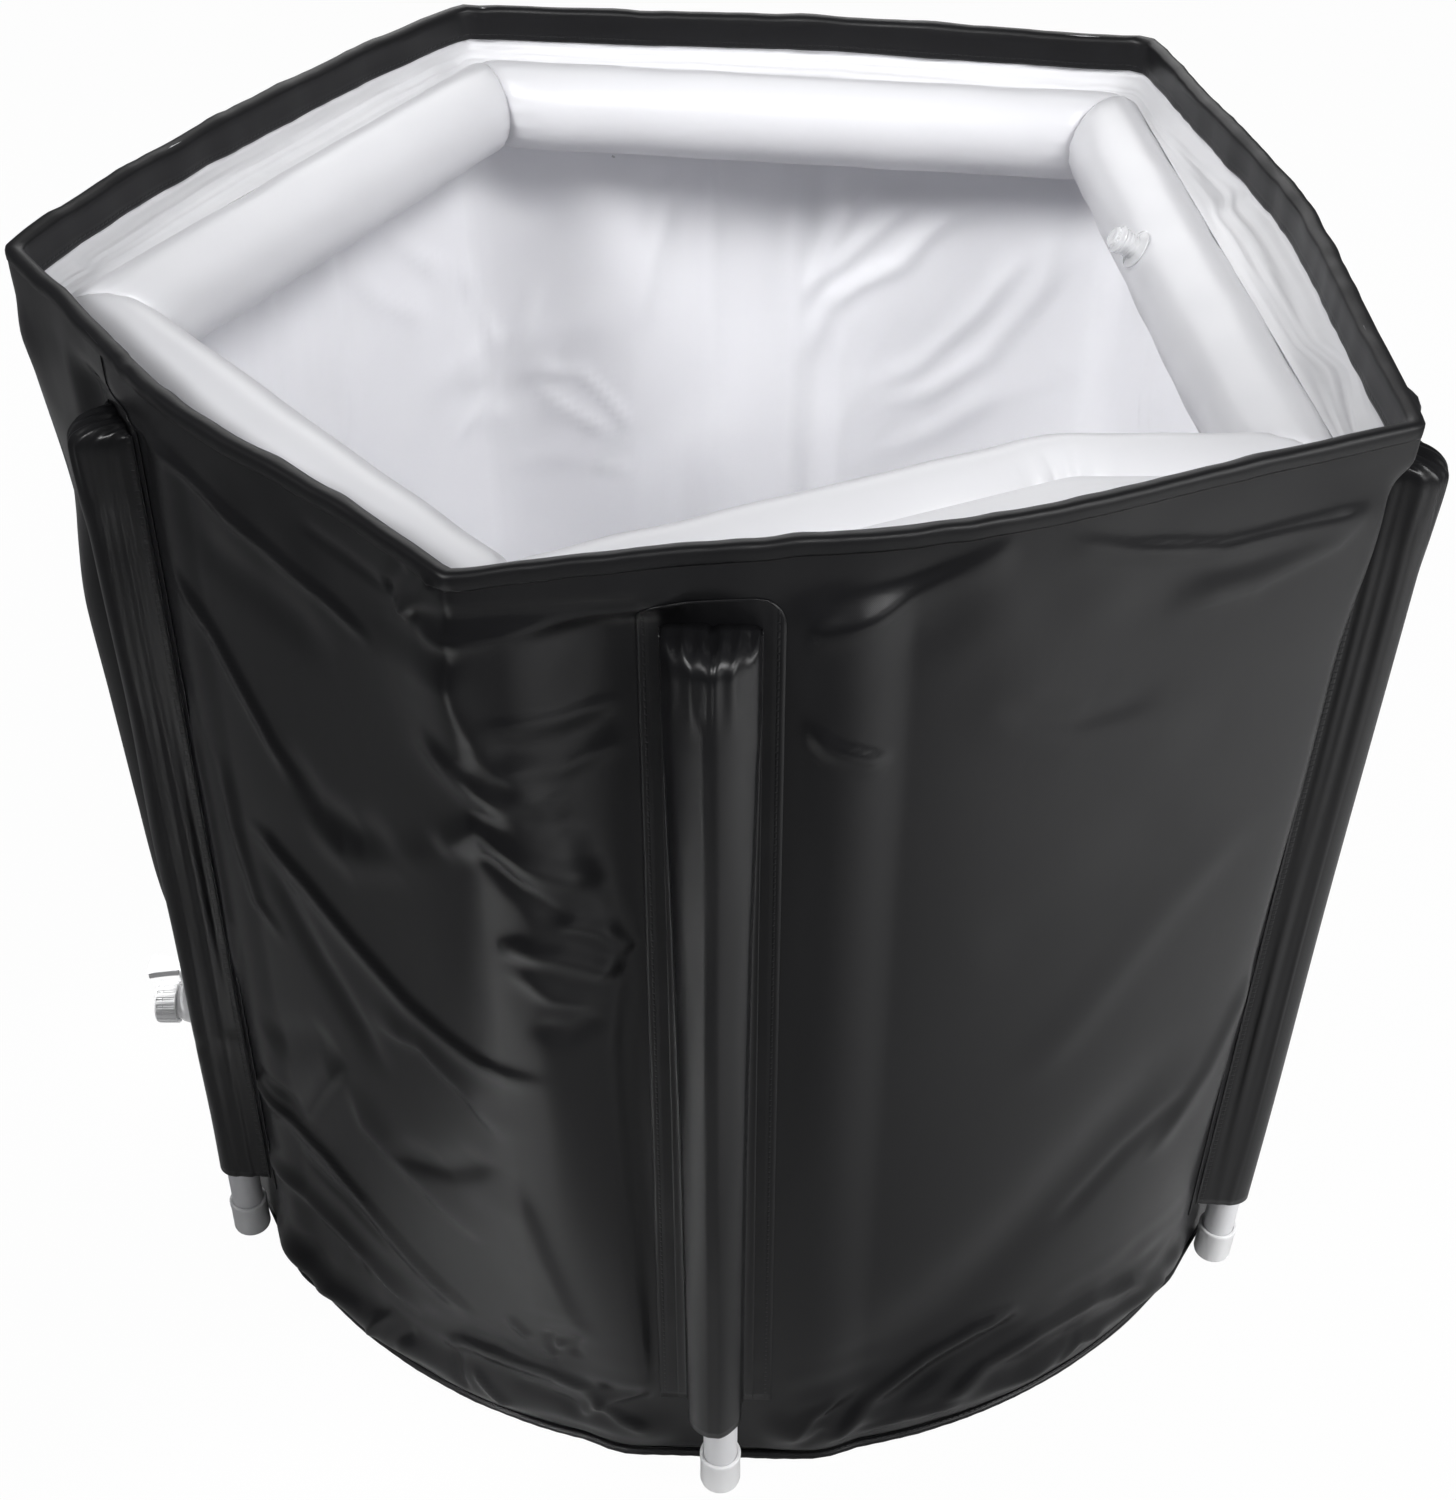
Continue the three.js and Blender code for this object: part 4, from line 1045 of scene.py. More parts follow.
LINER_FOLDS = (
    Fold(2.6, 8, 6, ((60, 580), (66, 545), (70, 510), (75, 490), (79, 468), (82.6, 400))),
    Fold(2.4, 7, 5, ((66.5, 580), (72, 545), (77, 510), (80, 490), (82.6, 455))),
    Fold(2.2, 7, 5, ((73, 584), (77, 549), (80.5, 495), (82.7, 460))),
    Fold(2.2, 9, 7, ((52, 570), (53, 509), (59, 440), (66, 400), (73, 385))),
    Fold(2.0, 8, 6, ((54, 540), (60, 480), (67, 425), (74, 400))),
    Fold(1.6, 8, 8, ((56, 420), (64, 370), (72, 340))),
    Fold(1.8, 5, 5, ((118, 414), (114, 490))),
    Fold(1.8, 5, 5, ((118, 414), (121, 470), (123, 520))),
    Fold(2.0, 5, 5, ((118, 414), (113, 380), (106, 345))),
    Fold(1.8, 5, 5, ((118, 414), (110, 405), (103, 350))),
    Fold(1.6, 5, 5, ((118, 414), (122, 380), (127, 360))),
    Fold(1.6, 4, 4, ((116, 440), (120, 436), (125, 425))),
    Fold(1.4, 4, 4, ((104, 320), (109, 314))),
    Fold(1.6, 9, 9, ((127, 470), (136, 515), (142, 565))),
    Fold(1.8, 8, 8, ((124, 500), (131, 545), (136, 590))),
    Fold(1.4, 7, 7, ((97, 590), (101, 500), (103, 430))),
    Fold(1.6, 9, 9, ((144.6, 600), (144.8, 520), (145.2, 450))),
    Fold(1.4, 8, 8, ((35, 590), (36, 500), (36, 400))),
    Fold(1.6, 12, 12, ((34, 320), (42, 350), (50, 330))),
    Fold(1.5, 12, 12, ((152, 300), (160, 340), (170, 330))),
)


@dataclass
class Base:
    """Round base: outer panel, piped seam, foam and floor liner."""

    wall: Wall
    finishes: Finishes
    piping_radius: float = 0.0025
    piping_stitch: float = 0.012

    def disc(self, name: str, inset: float, top: float, relief: float, thick: float, seed: int,
             up: bool = True) -> bpy.types.Object:
        """Makes one round sheet of the base.

        Args:
            name: Name of the piece.
            inset: How far its edge lies inside the wall's foot.
            top: Height of its face.
            relief: Height of its soft ripples.
            thick: Thickness.
            seed: Chooses its ripples.
            up: Whether its face looks up.

        Returns:
            The sheet.
        """
        turns = np.arange(0, 360, 3.0) if up else np.arange(360, 0, -3.0)
        shares = np.concatenate([[1.0, 0.995, 0.985, 0.97], np.linspace(0.94, 0.012, 40)])
        turn, share = np.meshgrid(turns, shares)
        edge = self.wall.plain(turn, np.full_like(turn, self.wall.foot)) - inset
        spot = polar(edge * share, turn, 0 * turn)
        calm = 1 - share ** 6
        spot[..., 2] = top + relief * calm * lumps(spot[..., 0], spot[..., 1], 0.11, seed)
        places = np.concatenate([spot[..., :2], spot[:, :1, :2]], 1)
        piece = Sewing.sheet(name, spot, places, True, 0)
        pick_up(piece)
        bpy.ops.object.mode_set(mode="EDIT")
        shape = bmesh.from_edit_mesh(piece.data)
        middle = [edge for edge in shape.edges if edge.is_boundary and edge.verts[0].co.to_2d().length < 0.02]
        bmesh.ops.holes_fill(shape, edges=middle, sides=0)
        bmesh.update_edit_mesh(piece.data)
        bpy.ops.object.mode_set(mode="OBJECT")
        piece.data.polygons.foreach_set("use_smooth", np.ones(len(piece.data.polygons), bool))
        Sewing.finish(piece, "SOLIDIFY", thickness=thick, offset=-1.0)
        return piece

    def piping(self) -> bpy.types.Object:
        """Makes the corded seam round the foot, pinched a little by its stitches.

        Returns:
            The seam.
        """
        turns = np.arange(0, 360, 0.9)
        around = np.linspace(0, 2 * math.pi, 14, endpoint=False)
        turn, angle = np.meshgrid(turns, np.append(around, around[0]))
        along = np.radians(turn) * self.wall.base
        middle = self.wall.plain(turn, np.full_like(turn, self.wall.foot)) - 0.002
        pinched = 1 + 0.05 * np.sin(along * math.tau / self.piping_stitch)
        radius = self.piping_radius * pinched + 0.0002 * lumps(along, angle, 0.03, 41)
        points = polar(middle + radius * np.cos(angle), turn, 0.0031 + radius * np.sin(angle))
        places = Sewing.places(turns, self.wall.base, np.append(around, math.tau) * self.piping_radius)
        return Sewing.sheet("foot_piping", points, places, True, 0)

    def build(self) -> None:
        """Makes and dresses the base."""
        panel = self.disc("base_cloth", 0.0048, 0.0, 0.0, 0.0014, 51, up=False)
        dress(panel, self.finishes.cloth, "black_cloth", "tub", "base_panel")
        cord = self.piping()
        Sewing.finish(cord, "WELD", merge_threshold=0.00005)
        dress(cord, self.finishes.binding, "black_trim", "tub", "base_piping")
        foam = self.disc("floor_foam", 0.0068, 0.0058, 0.0, 0.004, 52)
        dress(foam, self.finishes.foam, "foam", "tub", "floor_insulation")
        liner = self.disc("floor_lining", 0.0070, 0.0075, 0.0006, 0.001, 53)
        dress(liner, self.finishes.liner, "white_vinyl", "tub", "floor_liner")


@dataclass
class RingRun:
    """One inflated tube of the ring, between two mitred welds.

    Attributes:
        name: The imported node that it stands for.
        line: Points of its centre line.
        before: The point ahead of its start, on the tube before.
        after: The point past its end, on the tube after.
    """

    name: str
    line: list[Vector]
    before: Vector
    after: Vector
    radius: float = 0.031
    seed: int = 1
    mitre: float = 0.09
    weld: float = 0.0045
    kink: float = 0.030

    def centre_line(self, step: float) -> tuple[Array, Array]:
        """Lays out the middle of the tube, rounded where it is kinked.

        Args:
            step: Distance between its points, in metres.

        Returns:
            The points and their directions.
        """
        knots = np.array([list(point) for point in self.line])
        spans = np.linalg.norm(np.diff(knots, axis=0), axis=1)
        marks = np.append(0, np.cumsum(spans))
        count = int(marks[-1] / step)
        run = np.linspace(0, marks[-1], count)
        points = np.stack([np.interp(run, marks, knots[:, i]) for i in range(3)], -1)
        if len(knots) > 2:
            width = max(3, int(0.05 / step) | 1)
            kernel = np.hanning(width + 2)[1:-1]
            kernel /= kernel.sum()
            padded = np.concatenate([points[0] + (points[:1] - points[width:0:-1]),
                                     points, points[-1] + (points[-1:] - points[-2:-width - 2:-1])])
            smooth = np.stack([np.convolve(padded[:, i], kernel, "same") for i in range(3)], -1)
            points = smooth[width:width + count]
        ways = np.gradient(points, axis=0)
        return points, ways / np.linalg.norm(ways, axis=1)[:, None]

    def build(self, finish: bpy.types.Material) -> bpy.types.Object:
        """Makes and dresses the tube, pinched and puckered at its welds.

        Args:
            finish: The ring's finish.

        Returns:
            The tube.
        """
        points, ways = self.centre_line(0.0045)
        count, sides = len(points), 56
        length = np.linspace(0, 1, count)
        total = np.linalg.norm(np.diff(points, axis=0), axis=1).sum()
        from_start, from_end = length * total, (1 - length) * total
        angle = np.linspace(0, math.tau, sides, endpoint=False)
        out = np.stack([ways[:, 1], -ways[:, 0], np.zeros(count)], -1)
        rows = []
        first = self.plane(Vector(points[0]), self.before, Vector(ways[0]), True)
        last = self.plane(Vector(points[-1]), self.after, Vector(ways[-1]), False)
        for i in range(count):
            near = min(from_start[i], from_end[i])
            weld = math.exp(-near / self.weld)
            reach = self.radius * (1 - 0.085 * weld + 0.004 * math.sin(math.pi * length[i]))
            pucker = math.exp(-near / 0.013) * 0.0007 * np.sin(angle * 17 + self.seed) * (near > 0.001)
            along = np.full(sides, from_start[i])
            soft = 0.0005 * lumps(along, angle * self.radius, 0.045, 60 + self.seed)
            crush = self.crush(points[i], angle)
            radius = reach + pucker + soft * (1 - weld) + crush
            spoke = out[i][None] * np.cos(angle)[:, None] * radius[:, None]
            spoke[:, 2] += np.sin(angle) * radius
            skew = np.zeros(sides)
            for plane, far in ((first, from_start[i]), (last, from_end[i])):
                share = max(0.0, 1 - far / self.mitre)
                skew += share * (-(spoke @ np.array(plane)) / float(Vector(ways[i]).dot(plane)))
            rows.append(points[i] + spoke + ways[i][None] * skew[:, None])
        grid = np.array(self.closed_end(rows[0])[::-1] + rows + self.closed_end(rows[-1]))
        steps = np.append(0, np.cumsum(np.linalg.norm(np.diff(grid[:, 0], axis=0), axis=1)))
        places = np.stack(np.meshgrid(np.append(angle, math.tau) * self.radius, steps), -1)
        piece = Sewing.sheet("soft_" + self.name, grid[::-1], places[::-1], True, 0)
        dress(piece, finish, "white_vinyl", "tub", self.name)
        return piece

    def plane(self, end: Vector, beyond: Vector, way: Vector, start: bool) -> Vector:
        """Normal of the mitre between this tube and its neighbour."""
        other = (end - beyond).normalized() if start else (beyond - end).normalized()
        return (way + other).normalized()

    def crush(self, point: Array, angle: Array) -> Array:
        """Wrinkles on the inside of the kink.

        Args:
            point: A point on the centre line.
            angle: Angles round the tube there.

        Returns:
            Change of the tube's radius at each angle, in metres.
        """
        if len(self.line) < 3:
            return np.zeros_like(angle)
        far = point - np.array(self.line[1])
        along = np.dot(far, np.array((self.line[2] - self.line[0]).normalized()))
        near = math.exp(-(along / self.kink) ** 2)
        facing = np.clip(np.cos(angle), 0, 1)
        return near * facing * (-0.0035 + 0.0022 * math.cos(along * math.tau / 0.017))

    @staticmethod
    def closed_end(rim: Array) -> list[Array]:
        """Rings that close an end, each drawn in towards the middle of the weld."""
        centre = rim.mean(0)
        return [centre + (rim - centre) * share for share in (0.93, 0.7, 0.4, 0.12)]


@dataclass
class Ring:
    """The inflated ring and the cloth flange that carries it."""

    wall: Wall
    finishes: Finishes
    level: float = 0.637
    radius: float = 0.031
    shares: tuple[float, ...] = (0.975, 0.93, 0.962, 0.98, 0.968)
    kink: tuple[float, float] = (0.7125, -55.6)
    seam_gap: float = 0.0006
    wall_gap: float = 0.0084
    names: tuple[str, ...] = ("front", "right", "back", "back_left", "front_left")

    def point(self, share: float, turn: float) -> Vector:
        """A point on the ring's level at a share of the pole circle."""
        reach = self.wall.circle * share
        angle = math.radians(turn)
        return Vector((reach * math.cos(angle), reach * math.sin(angle), self.level))

    def runs(self) -> list[list[Vector]]:
        """Lays out the tubes, the front one kinked.

        Returns:
            The points of each tube's centre line.
        """
        ends = [self.point(share, turn) for share, turn in zip(self.shares, self.wall.corners)]
        runs = [[ends[i], ends[(i + 1) % 5]] for i in range(5)]
        runs[0].insert(1, self.point(*self.kink))
        return runs

    def build(self) -> None:
        """Makes and dresses the tubes and the flange."""
        runs = self.runs()
        for i, line in enumerate(runs):
            RingRun("ring_tube_" + self.names[i], line, runs[i - 1][-2], runs[(i + 1) % 5][1],
                    self.radius, i).build(self.finishes.ring)
        self.flange(runs)

    def seat(self, turns: Array, runs: list[list[Vector]]) -> Array:
        """Finds the line where the flange lies on the tubes' shoulders.

        Args:
            turns: Azimuths, in degrees.
            runs: Centre lines of the tubes.

        Returns:
            The line's reach at each azimuth, in metres.
        """
        offset = (self.radius + self.seam_gap) * math.cos(math.radians(45))
        best = np.zeros_like(turns)
        for line in runs:
            for start, end in zip(line, line[1:]):
                way = (end - start).normalized()
                normal = (way.y, -way.x)
                away = normal[0] * start.x + normal[1] * start.y + offset
                facing = np.cos(np.radians(turns)) * normal[0] + np.sin(np.radians(turns)) * normal[1]
                begin = math.degrees(math.atan2(start.y, start.x))
                width = (math.degrees(math.atan2(end.y, end.x)) - begin) % 360
                inside = ((turns - begin + 0.01) % 360) <= width + 0.02
                best = np.where(inside, np.maximum(best, away / np.where(inside, facing, 1)), best)
        return best

    def flange(self, runs: list[list[Vector]]) -> None:
        """Makes and dresses the white cloth from the hem down to the ring, gathered in small folds.

        Args:
            runs: Centre lines of the tubes.
        """
        turns = even_turns(0.7, 0.9)
        seat = self.seat(turns, runs)
        kernel = np.hanning(9)[1:-1] / np.hanning(9)[1:-1].sum()
        seat = np.convolve(np.concatenate([seat[-8:], seat, seat[:8]]), kernel, "same")[8:-8]
        low = self.level + (self.radius + self.seam_gap) * math.sin(math.radians(45))
        bend, top = self.wall.hem_foot - 0.0055, self.wall.hem_foot + 0.003
        along = np.radians(turns) * self.wall.base
        ripple = lumps(along, 0 * along, 0.020, 71) + 0.5 * lumps(along, 0 * along, 0.009, 72)
        corner = sum(np.exp(-(apart(turns, turn) / 7) ** 2) for turn in self.wall.corners)
        rows, steps = [], np.linspace(0, 1, 25)
        for step in steps:
            share, climb = min(step / 0.8, 1), max(step - 0.8, 0) / 0.2
            rise = (bend - low) * (0.12 * share + 0.88 * share ** 1.9) + (top - bend) * climb
            height = low + rise
            wall = self.wall.reach(turns, np.full_like(turns, height)) - self.wall_gap
            swell = math.sin(math.pi * share) * (climb == 0)
            fold = 0.0012 * swell * ripple * (0.25 + 1.1 * corner)
            fold = fold + 0.0008 * swell * lumps(along, step, 0.08, 73)
            rows.append(polar(seat + (wall - seat) * share - 0.5 * fold, turns, height + fold))
        places = Sewing.places(turns, self.wall.base, 0.004 + 0.03 * (1 - steps))
        piece = Sewing.sheet("ring_collar", np.array(rows)[::-1], places[::-1], True, 0.0008)
        dress(piece, self.finishes.flange, "white_vinyl", "tub", "ring_flange")


# Rigid pieces


class Bench:
    """Turns and shapes a rigid piece in edit mode, its axis along local Z."""

    def __init__(self, name: str, profile: Sequence[tuple[float, float]], sides: int = 48,
                 bevel: float = 0.0004) -> None:
        """Spins a profile of [radius, height] pairs into a closed solid.

        Args:
            name: Name of the piece.
            profile: The outline, from the axis and back to it, or closed on itself.
            sides: Steps of the spin.
            bevel: Rounding of its sharp edges.
        """
        bpy.ops.object.select_all(action="DESELECT")
        bpy.ops.mesh.primitive_plane_add(size=0.001, location=(0, 0, 0))
        self.piece = bpy.context.object
        self.piece.name = self.piece.data.name = name
        bpy.ops.object.mode_set(mode="EDIT")
        bpy.ops.mesh.select_mode(type="VERT")
        bpy.ops.mesh.select_all(action="SELECT")
        bpy.ops.mesh.merge(type="CENTER")
        shape = bmesh.from_edit_mesh(self.piece.data)
        shape.verts.ensure_lookup_table()
        shape.verts[0].co = (profile[0][0], 0, profile[0][1])
        bmesh.update_edit_mesh(self.piece.data)
        for (r0, z0), (r1, z1) in zip(profile, profile[1:]):
            bpy.ops.mesh.extrude_region_move(TRANSFORM_OT_translate={"value": (r1 - r0, 0, z1 - z0)})
        bpy.ops.mesh.select_all(action="SELECT")
        bpy.ops.mesh.spin(steps=sides, angle=math.tau, center=(0, 0, 0), axis=(0, 0, 1))
        bpy.ops.mesh.select_all(action="SELECT")
        bpy.ops.mesh.remove_doubles(threshold=0.00001)
        bpy.ops.mesh.normals_make_consistent(inside=False)
        bpy.ops.object.mode_set(mode="OBJECT")
        self.bevel = bevel

    def pick(self, test: Callable[[Vector, Vector], bool]) -> int:
        """Selects faces in edit mode.

        Args:
            test: Says of a face's centre and normal whether it is picked.

        Returns:
            How many are selected.
        """
        bpy.ops.object.mode_set(mode="EDIT")
        bpy.ops.mesh.select_mode(type="FACE")
        bpy.ops.mesh.select_all(action="DESELECT")
        shape = bmesh.from_edit_mesh(self.piece.data)
        count = 0
        for face in shape.faces:
            if test(face.calc_center_median(), face.normal):
                face.select_set(True)
                count += 1
        bmesh.update_edit_mesh(self.piece.data)
        return count

    def raise_faces(self, test: Callable[[Vector, Vector], bool], inset: float, rise: float) -> "Bench":
        """Insets each picked face and moves it along its normal.

        Args:
            test: Says of a face's centre and normal whether it is picked.
            inset: Width of the inset, in metres.
            rise: How far it moves, in metres; below zero it sinks.

        Returns:
            The bench.
        """
        if self.pick(test):
            bpy.ops.mesh.inset(thickness=inset, depth=rise, use_individual=True)
        bpy.ops.object.mode_set(mode="OBJECT")
        return self

    def done(self, place: Matrix) -> bpy.types.Object:
        """Rounds the edges, smooths the faces and puts the piece in its place.

        Args:
            place: Where it goes.

        Returns:
            The finished piece.
        """
        if self.bevel:
            Sewing.finish(self.piece, "BEVEL", width=self.bevel, segments=2, limit_method="ANGLE",
                          angle_limit=math.radians(28))
        pick_up(self.piece)
        bpy.ops.object.shade_smooth_by_angle(angle=math.radians(35))
        self.piece.data.transform(place)
        self.piece.data.update()
        return self.piece


def joined(first: bpy.types.Object, *others: bpy.types.Object) -> bpy.types.Object:
    """Joins pieces.

    Args:
        first: The piece that takes up the others.
        others: The pieces that it takes up.

    Returns:
        The first piece.
    """
    pick_up(first, *others)
    bpy.ops.object.join()
    return first


@dataclass
class PoleSet:
    """One pole with its caps, and the sleeve and patch that hold it."""

    wall: Wall
    finishes: Finishes
    index: int
    name: str
    cap_radius: float = 0.01315
    pipe_radius: float = 0.01075
    pipe_bore: float = 0.00875
    pipe_inset: float = 0.0033
    pinch: float = 0.0
    drift: float = 0.0
    widths: tuple[float, ...] = (0.0138, 0.0148, 0.0165, 0.0188, 0.0212)
    width_heights: tuple[float, ...] = (0.066, 0.30, 0.46, 0.58, 0.645)
    sleeve_foot: float = 0.066
    shoulder_drop: float = 0.011
    crown_rise: float = 0.0052
    sleeve_cloth: float = 0.0008
    half_width: float = 0.0245

    @property
    def azimuth(self) -> float:
        """Turn of the pole round the tub."""
        return self.wall.first_pole + 60 * self.index

    def place(self) -> Matrix:
        """Works out the pole's own frame.

        Returns:
            The frame: Z up along the pole, X outwards.
        """
        lean = self.wall.lean(self.index)
        lift = self.cap_radius * math.sin(abs(lean))
        turn = math.radians(self.azimuth)
        foot = Vector((self.wall.circle * math.cos(turn), self.wall.circle * math.sin(turn), lift))
        return Matrix.Translation(foot) @ Matrix.Rotation(turn, 4, "Z") @ Matrix.Rotation(lean, 4, "Y")

    @property
    def length(self) -> float:
        """Length of the pole over its caps."""
        return self.wall.sleeve_top / math.cos(self.wall.lean(self.index)) - 0.0013

    def build(self) -> None:
        """Makes and dresses the five pieces."""
        place, body = self.place(), "pole_" + self.name
        low, high = self.pipe_inset, self.length - self.pipe_inset
        outside = [(self.pipe_radius, height) for height in (low, 0.11, 0.33, 0.52, high)]
        outline = [(self.pipe_bore, low), *outside, (self.pipe_bore, high), (self.pipe_bore, low)]
        pipe = Bench("pipe_" + self.name, outline).done(place)
        dress(pipe, self.finishes.pipe, "white_pipe", body, "pole_" + self.name)
        foot = self.cap("foot_plug_" + self.name).done(place)
        dress(foot, self.finishes.plastic, "white_plastic", body, "foot_cap_" + self.name)
        turned = place @ Matrix.Translation((0, 0, self.length)) @ Matrix.Rotation(math.pi, 4, "X")
        top = self.cap("top_plug_" + self.name).done(turned)
        dress(top, self.finishes.plastic, "white_plastic", body, "top_cap_" + self.name)
        self.sleeve()
        self.patch()

    def cap(self, name: str) -> Bench:
        """Turns a push-on pipe cap with a raised collar at its mouth and a rounded closed end.

        Args:
            name: Name of the piece.

        Returns:
            The bench with the cap on it.
        """
        r = self.cap_radius
        return Bench(name, [
            (0, 0), (r - 0.0045, 0), (r - 0.0022, 0.0005), (r - 0.0007, 0.0018), (r - 0.0002, 0.0036),
            (r - 0.0004, 0.0240), (r, 0.0252), (r, 0.0284), (r - 0.0005, 0.0290), (0.01105, 0.0290),
            (0.01105, 0.003), (0, 0.003)], 48, 0.0003)

    def sleeve(self) -> None:
        """Cloth tunnel over the pole, sewn down both sides and gathered at its closed top."""
        foot, shoulder = self.sleeve_foot, self.wall.sleeve_top - self.shoulder_drop
        crown = self.wall.sleeve_top + self.crown_rise
        bend = np.radians(np.linspace(0, 90, 26)[1:])
        rounded = shoulder + (crown - shoulder) * np.sin(bend) ** 0.7
        heights = np.concatenate([np.linspace(foot, 0.60, 96), np.linspace(0.603, shoulder, 17), rounded])
        domes = np.concatenate([np.ones(113), np.cos(bend) ** 0.57])
        share, height = np.meshgrid(np.linspace(-1, 1, 101), heights)
        dome = domes[:, None] + 0 * share
        width = np.interp(height, self.width_heights, self.widths)
        if self.name != "front":
            width = 0.0132 + 0.0014 * fade(height, 0.58, 0.615)
        arch, slide = self.section(share, width)
        near = fade(height, 0.605, shoulder)
        pleats = 0.0009 * (1 + np.sin(share * 21 + 0.6)) + 0.0012 * np.maximum(0, np.sin(share * 9 - 0.5))
        crease = -0.0008 * np.exp(-((share - 0.03) / 0.035) ** 2)
        bulge = 0.0008 * (1 + lumps(share * self.half_width, height, 0.012, 80 + self.index, 16))
        soft = 0.0006 * (1 + lumps(share * self.half_width, height, 0.05, 90 + self.index, 2.2))
        free = (1 - np.clip(np.abs(share) / 0.62, 0, 1) ** 4) * dome
        stand = arch * dome + (near * (pleats + crease) + (bulge + soft) * (1 - 0.5 * near)) * free
        flank = np.sin(math.pi * np.clip((np.abs(share) - 0.42) / 0.5, 0, 1)) * dome
        if self.name != "front":
            uneven = 0.0006 * (1 + lumps(share, height, 0.07, 95 + self.index, 3))
            slide = slide + np.sign(share) * flank * uneven
        if self.pinch:
            spindle = np.sin(math.pi * np.clip((height - self.pinch) / 0.32, 0, 1)) ** 1.5
            slide = slide + 0.0034 * spindle * np.exp(-((share - 0.7) / 0.1) ** 2)
            tuck = np.exp(-((height - self.pinch - 0.012 * share) / 0.005) ** 2)
            slide = slide - 0.0026 * tuck * np.exp(-((share - 0.72) / 0.14) ** 2)
            stand = stand - 0.0014 * tuck * np.exp(-((share - 0.3) / 0.25) ** 2)
        height = height - 0.0034 * np.minimum(np.abs(share) / 0.75, 1) ** 5 * fade(height, shoulder, crown)
        gathers = 0.5 + 0.5 * np.sin(share * 25 + 0.8) + 0.4 * np.sin(share * 11 + 2)
        height = height - 0.0015 * gathers * (4 * dome * (1 - dome)) ** 0.7
        height = height - 0.0022 * np.exp(-((share - 0.03) / 0.06) ** 2) * fade(height, crown - 0.003, crown)
        points = self.on_wall(slide, height, stand + 0.0017)
        places = np.stack([share * self.half_width, height], -1)
        piece = Sewing.sheet("sleeve_" + self.name, points, places, False, 0)
        Sewing.finish(piece, "SOLIDIFY", thickness=self.sleeve_cloth, offset=-1.0)
        dress(piece, self.finishes.sleeve, "black_cloth", "tub", "pole_sleeve_" + self.name)

    def section(self, share: Array, width: Array) -> tuple[Array, Array]:
        """Height above the wall and place across it, from one sewn edge to the other.

        Args:
            share: Place across the cloth, from -1 to 1.
            width: Half the width of the arch over the pole, in metres.

        Returns:
            The height and the sideways place, in metres.
        """
        up, out = 0.0, 0.0
        half = self.creased if self.name == "front" else self.taut
        for step, weight in ((-0.04, 1), (-0.02, 2), (0, 3), (0.02, 2), (0.04, 1)):
            place = share + step
            high, across = half(np.abs(place), width)
            up = up + weight / 9 * high
            out = out + weight / 9 * np.sign(place) * across
        return up, out

    def creased(self, far: Array, width: Array) -> tuple[Array, Array]:
        """Half a section with a pressed centre crease, falling steeply to its seam.

        Args:
            far: Place across the cloth, from 0 at the middle to 1 at the edge.
            width: Half the width of the arch over the pole, in metres.

        Returns:
            The height and the sideways place, in metres.
        """
        open_to, sewn_at, fullness, widest = 0.66, 0.92, 1.17, 0.0229
        crest, facet_from, rounding = 0.0276, 0.0032, 0.0005
        width = np.minimum(width * fullness, widest)
        bend = width * np.clip(far / open_to, 0, 1)
        drop = np.clip((far - open_to) / (sewn_at - open_to), 0, 1)
        rest = np.clip((far - sewn_at) / (1 - sewn_at), 0, 1)
        facet = np.hypot(np.maximum(bend - facet_from, 0), rounding) - rounding
        high = crest + 0.75 * np.maximum(width - 0.0195, 0) - 0.26 * bend ** 3 / width ** 2 - 0.4 * facet
        return high * (1 - drop), bend + 0.0012 * drop + (self.half_width - 0.0012 - width) * rest

    def taut(self, far: Array, width: Array) -> tuple[Array, Array]:
        """Half a section drawn tight over the pole and straight down to its seam.

        Args:
            far: Place across the cloth, from 0 at the middle to 1 at the edge.
            width: Radius of the arch over the pole, in metres.

        Returns:
            The height and the sideways place, in metres.
        """
        foot, axis = 0.0228, 0.0131
        round_to = np.arctan2(axis, foot) + np.arcsin(width / math.hypot(axis, foot))
        turn = np.clip(far / 0.5, 0, 1) * round_to
        drop = np.clip((far - 0.5) / 0.42, 0, 1)
        rest = np.clip((far - 0.92) / 0.08, 0, 1)
        bend, high = width * np.sin(turn), axis + width * np.cos(turn)
        across = bend + (foot - width * np.sin(round_to)) * drop + (self.half_width - foot) * rest
        return high * (1 - drop), across

    def on_wall(self, sideways: Array, height: Array, stand: Array) -> Array:
        """Points that stand off the wall beside the pole.

        Args:
            sideways: Place across the pole's patch, in metres.
            height: Height, in metres.
            stand: Distance from the wall, in metres.

        Returns:
            The points, drifted sideways a little more at the top than at the foot.
        """
        drifted = sideways + self.drift * (0.55 + 0.45 * height / self.wall.sleeve_top)
        turn = self.azimuth + np.degrees(drifted / self.wall.base)
        points = polar(self.wall.reach(turn, height), turn, height)
        out = math.radians(self.azimuth)
        lean = self.wall.lean(self.index)
        normal = np.array([math.cos(out) * math.cos(lean), math.sin(out) * math.cos(lean), -math.sin(lean)])
        return points + stand[..., None] * normal

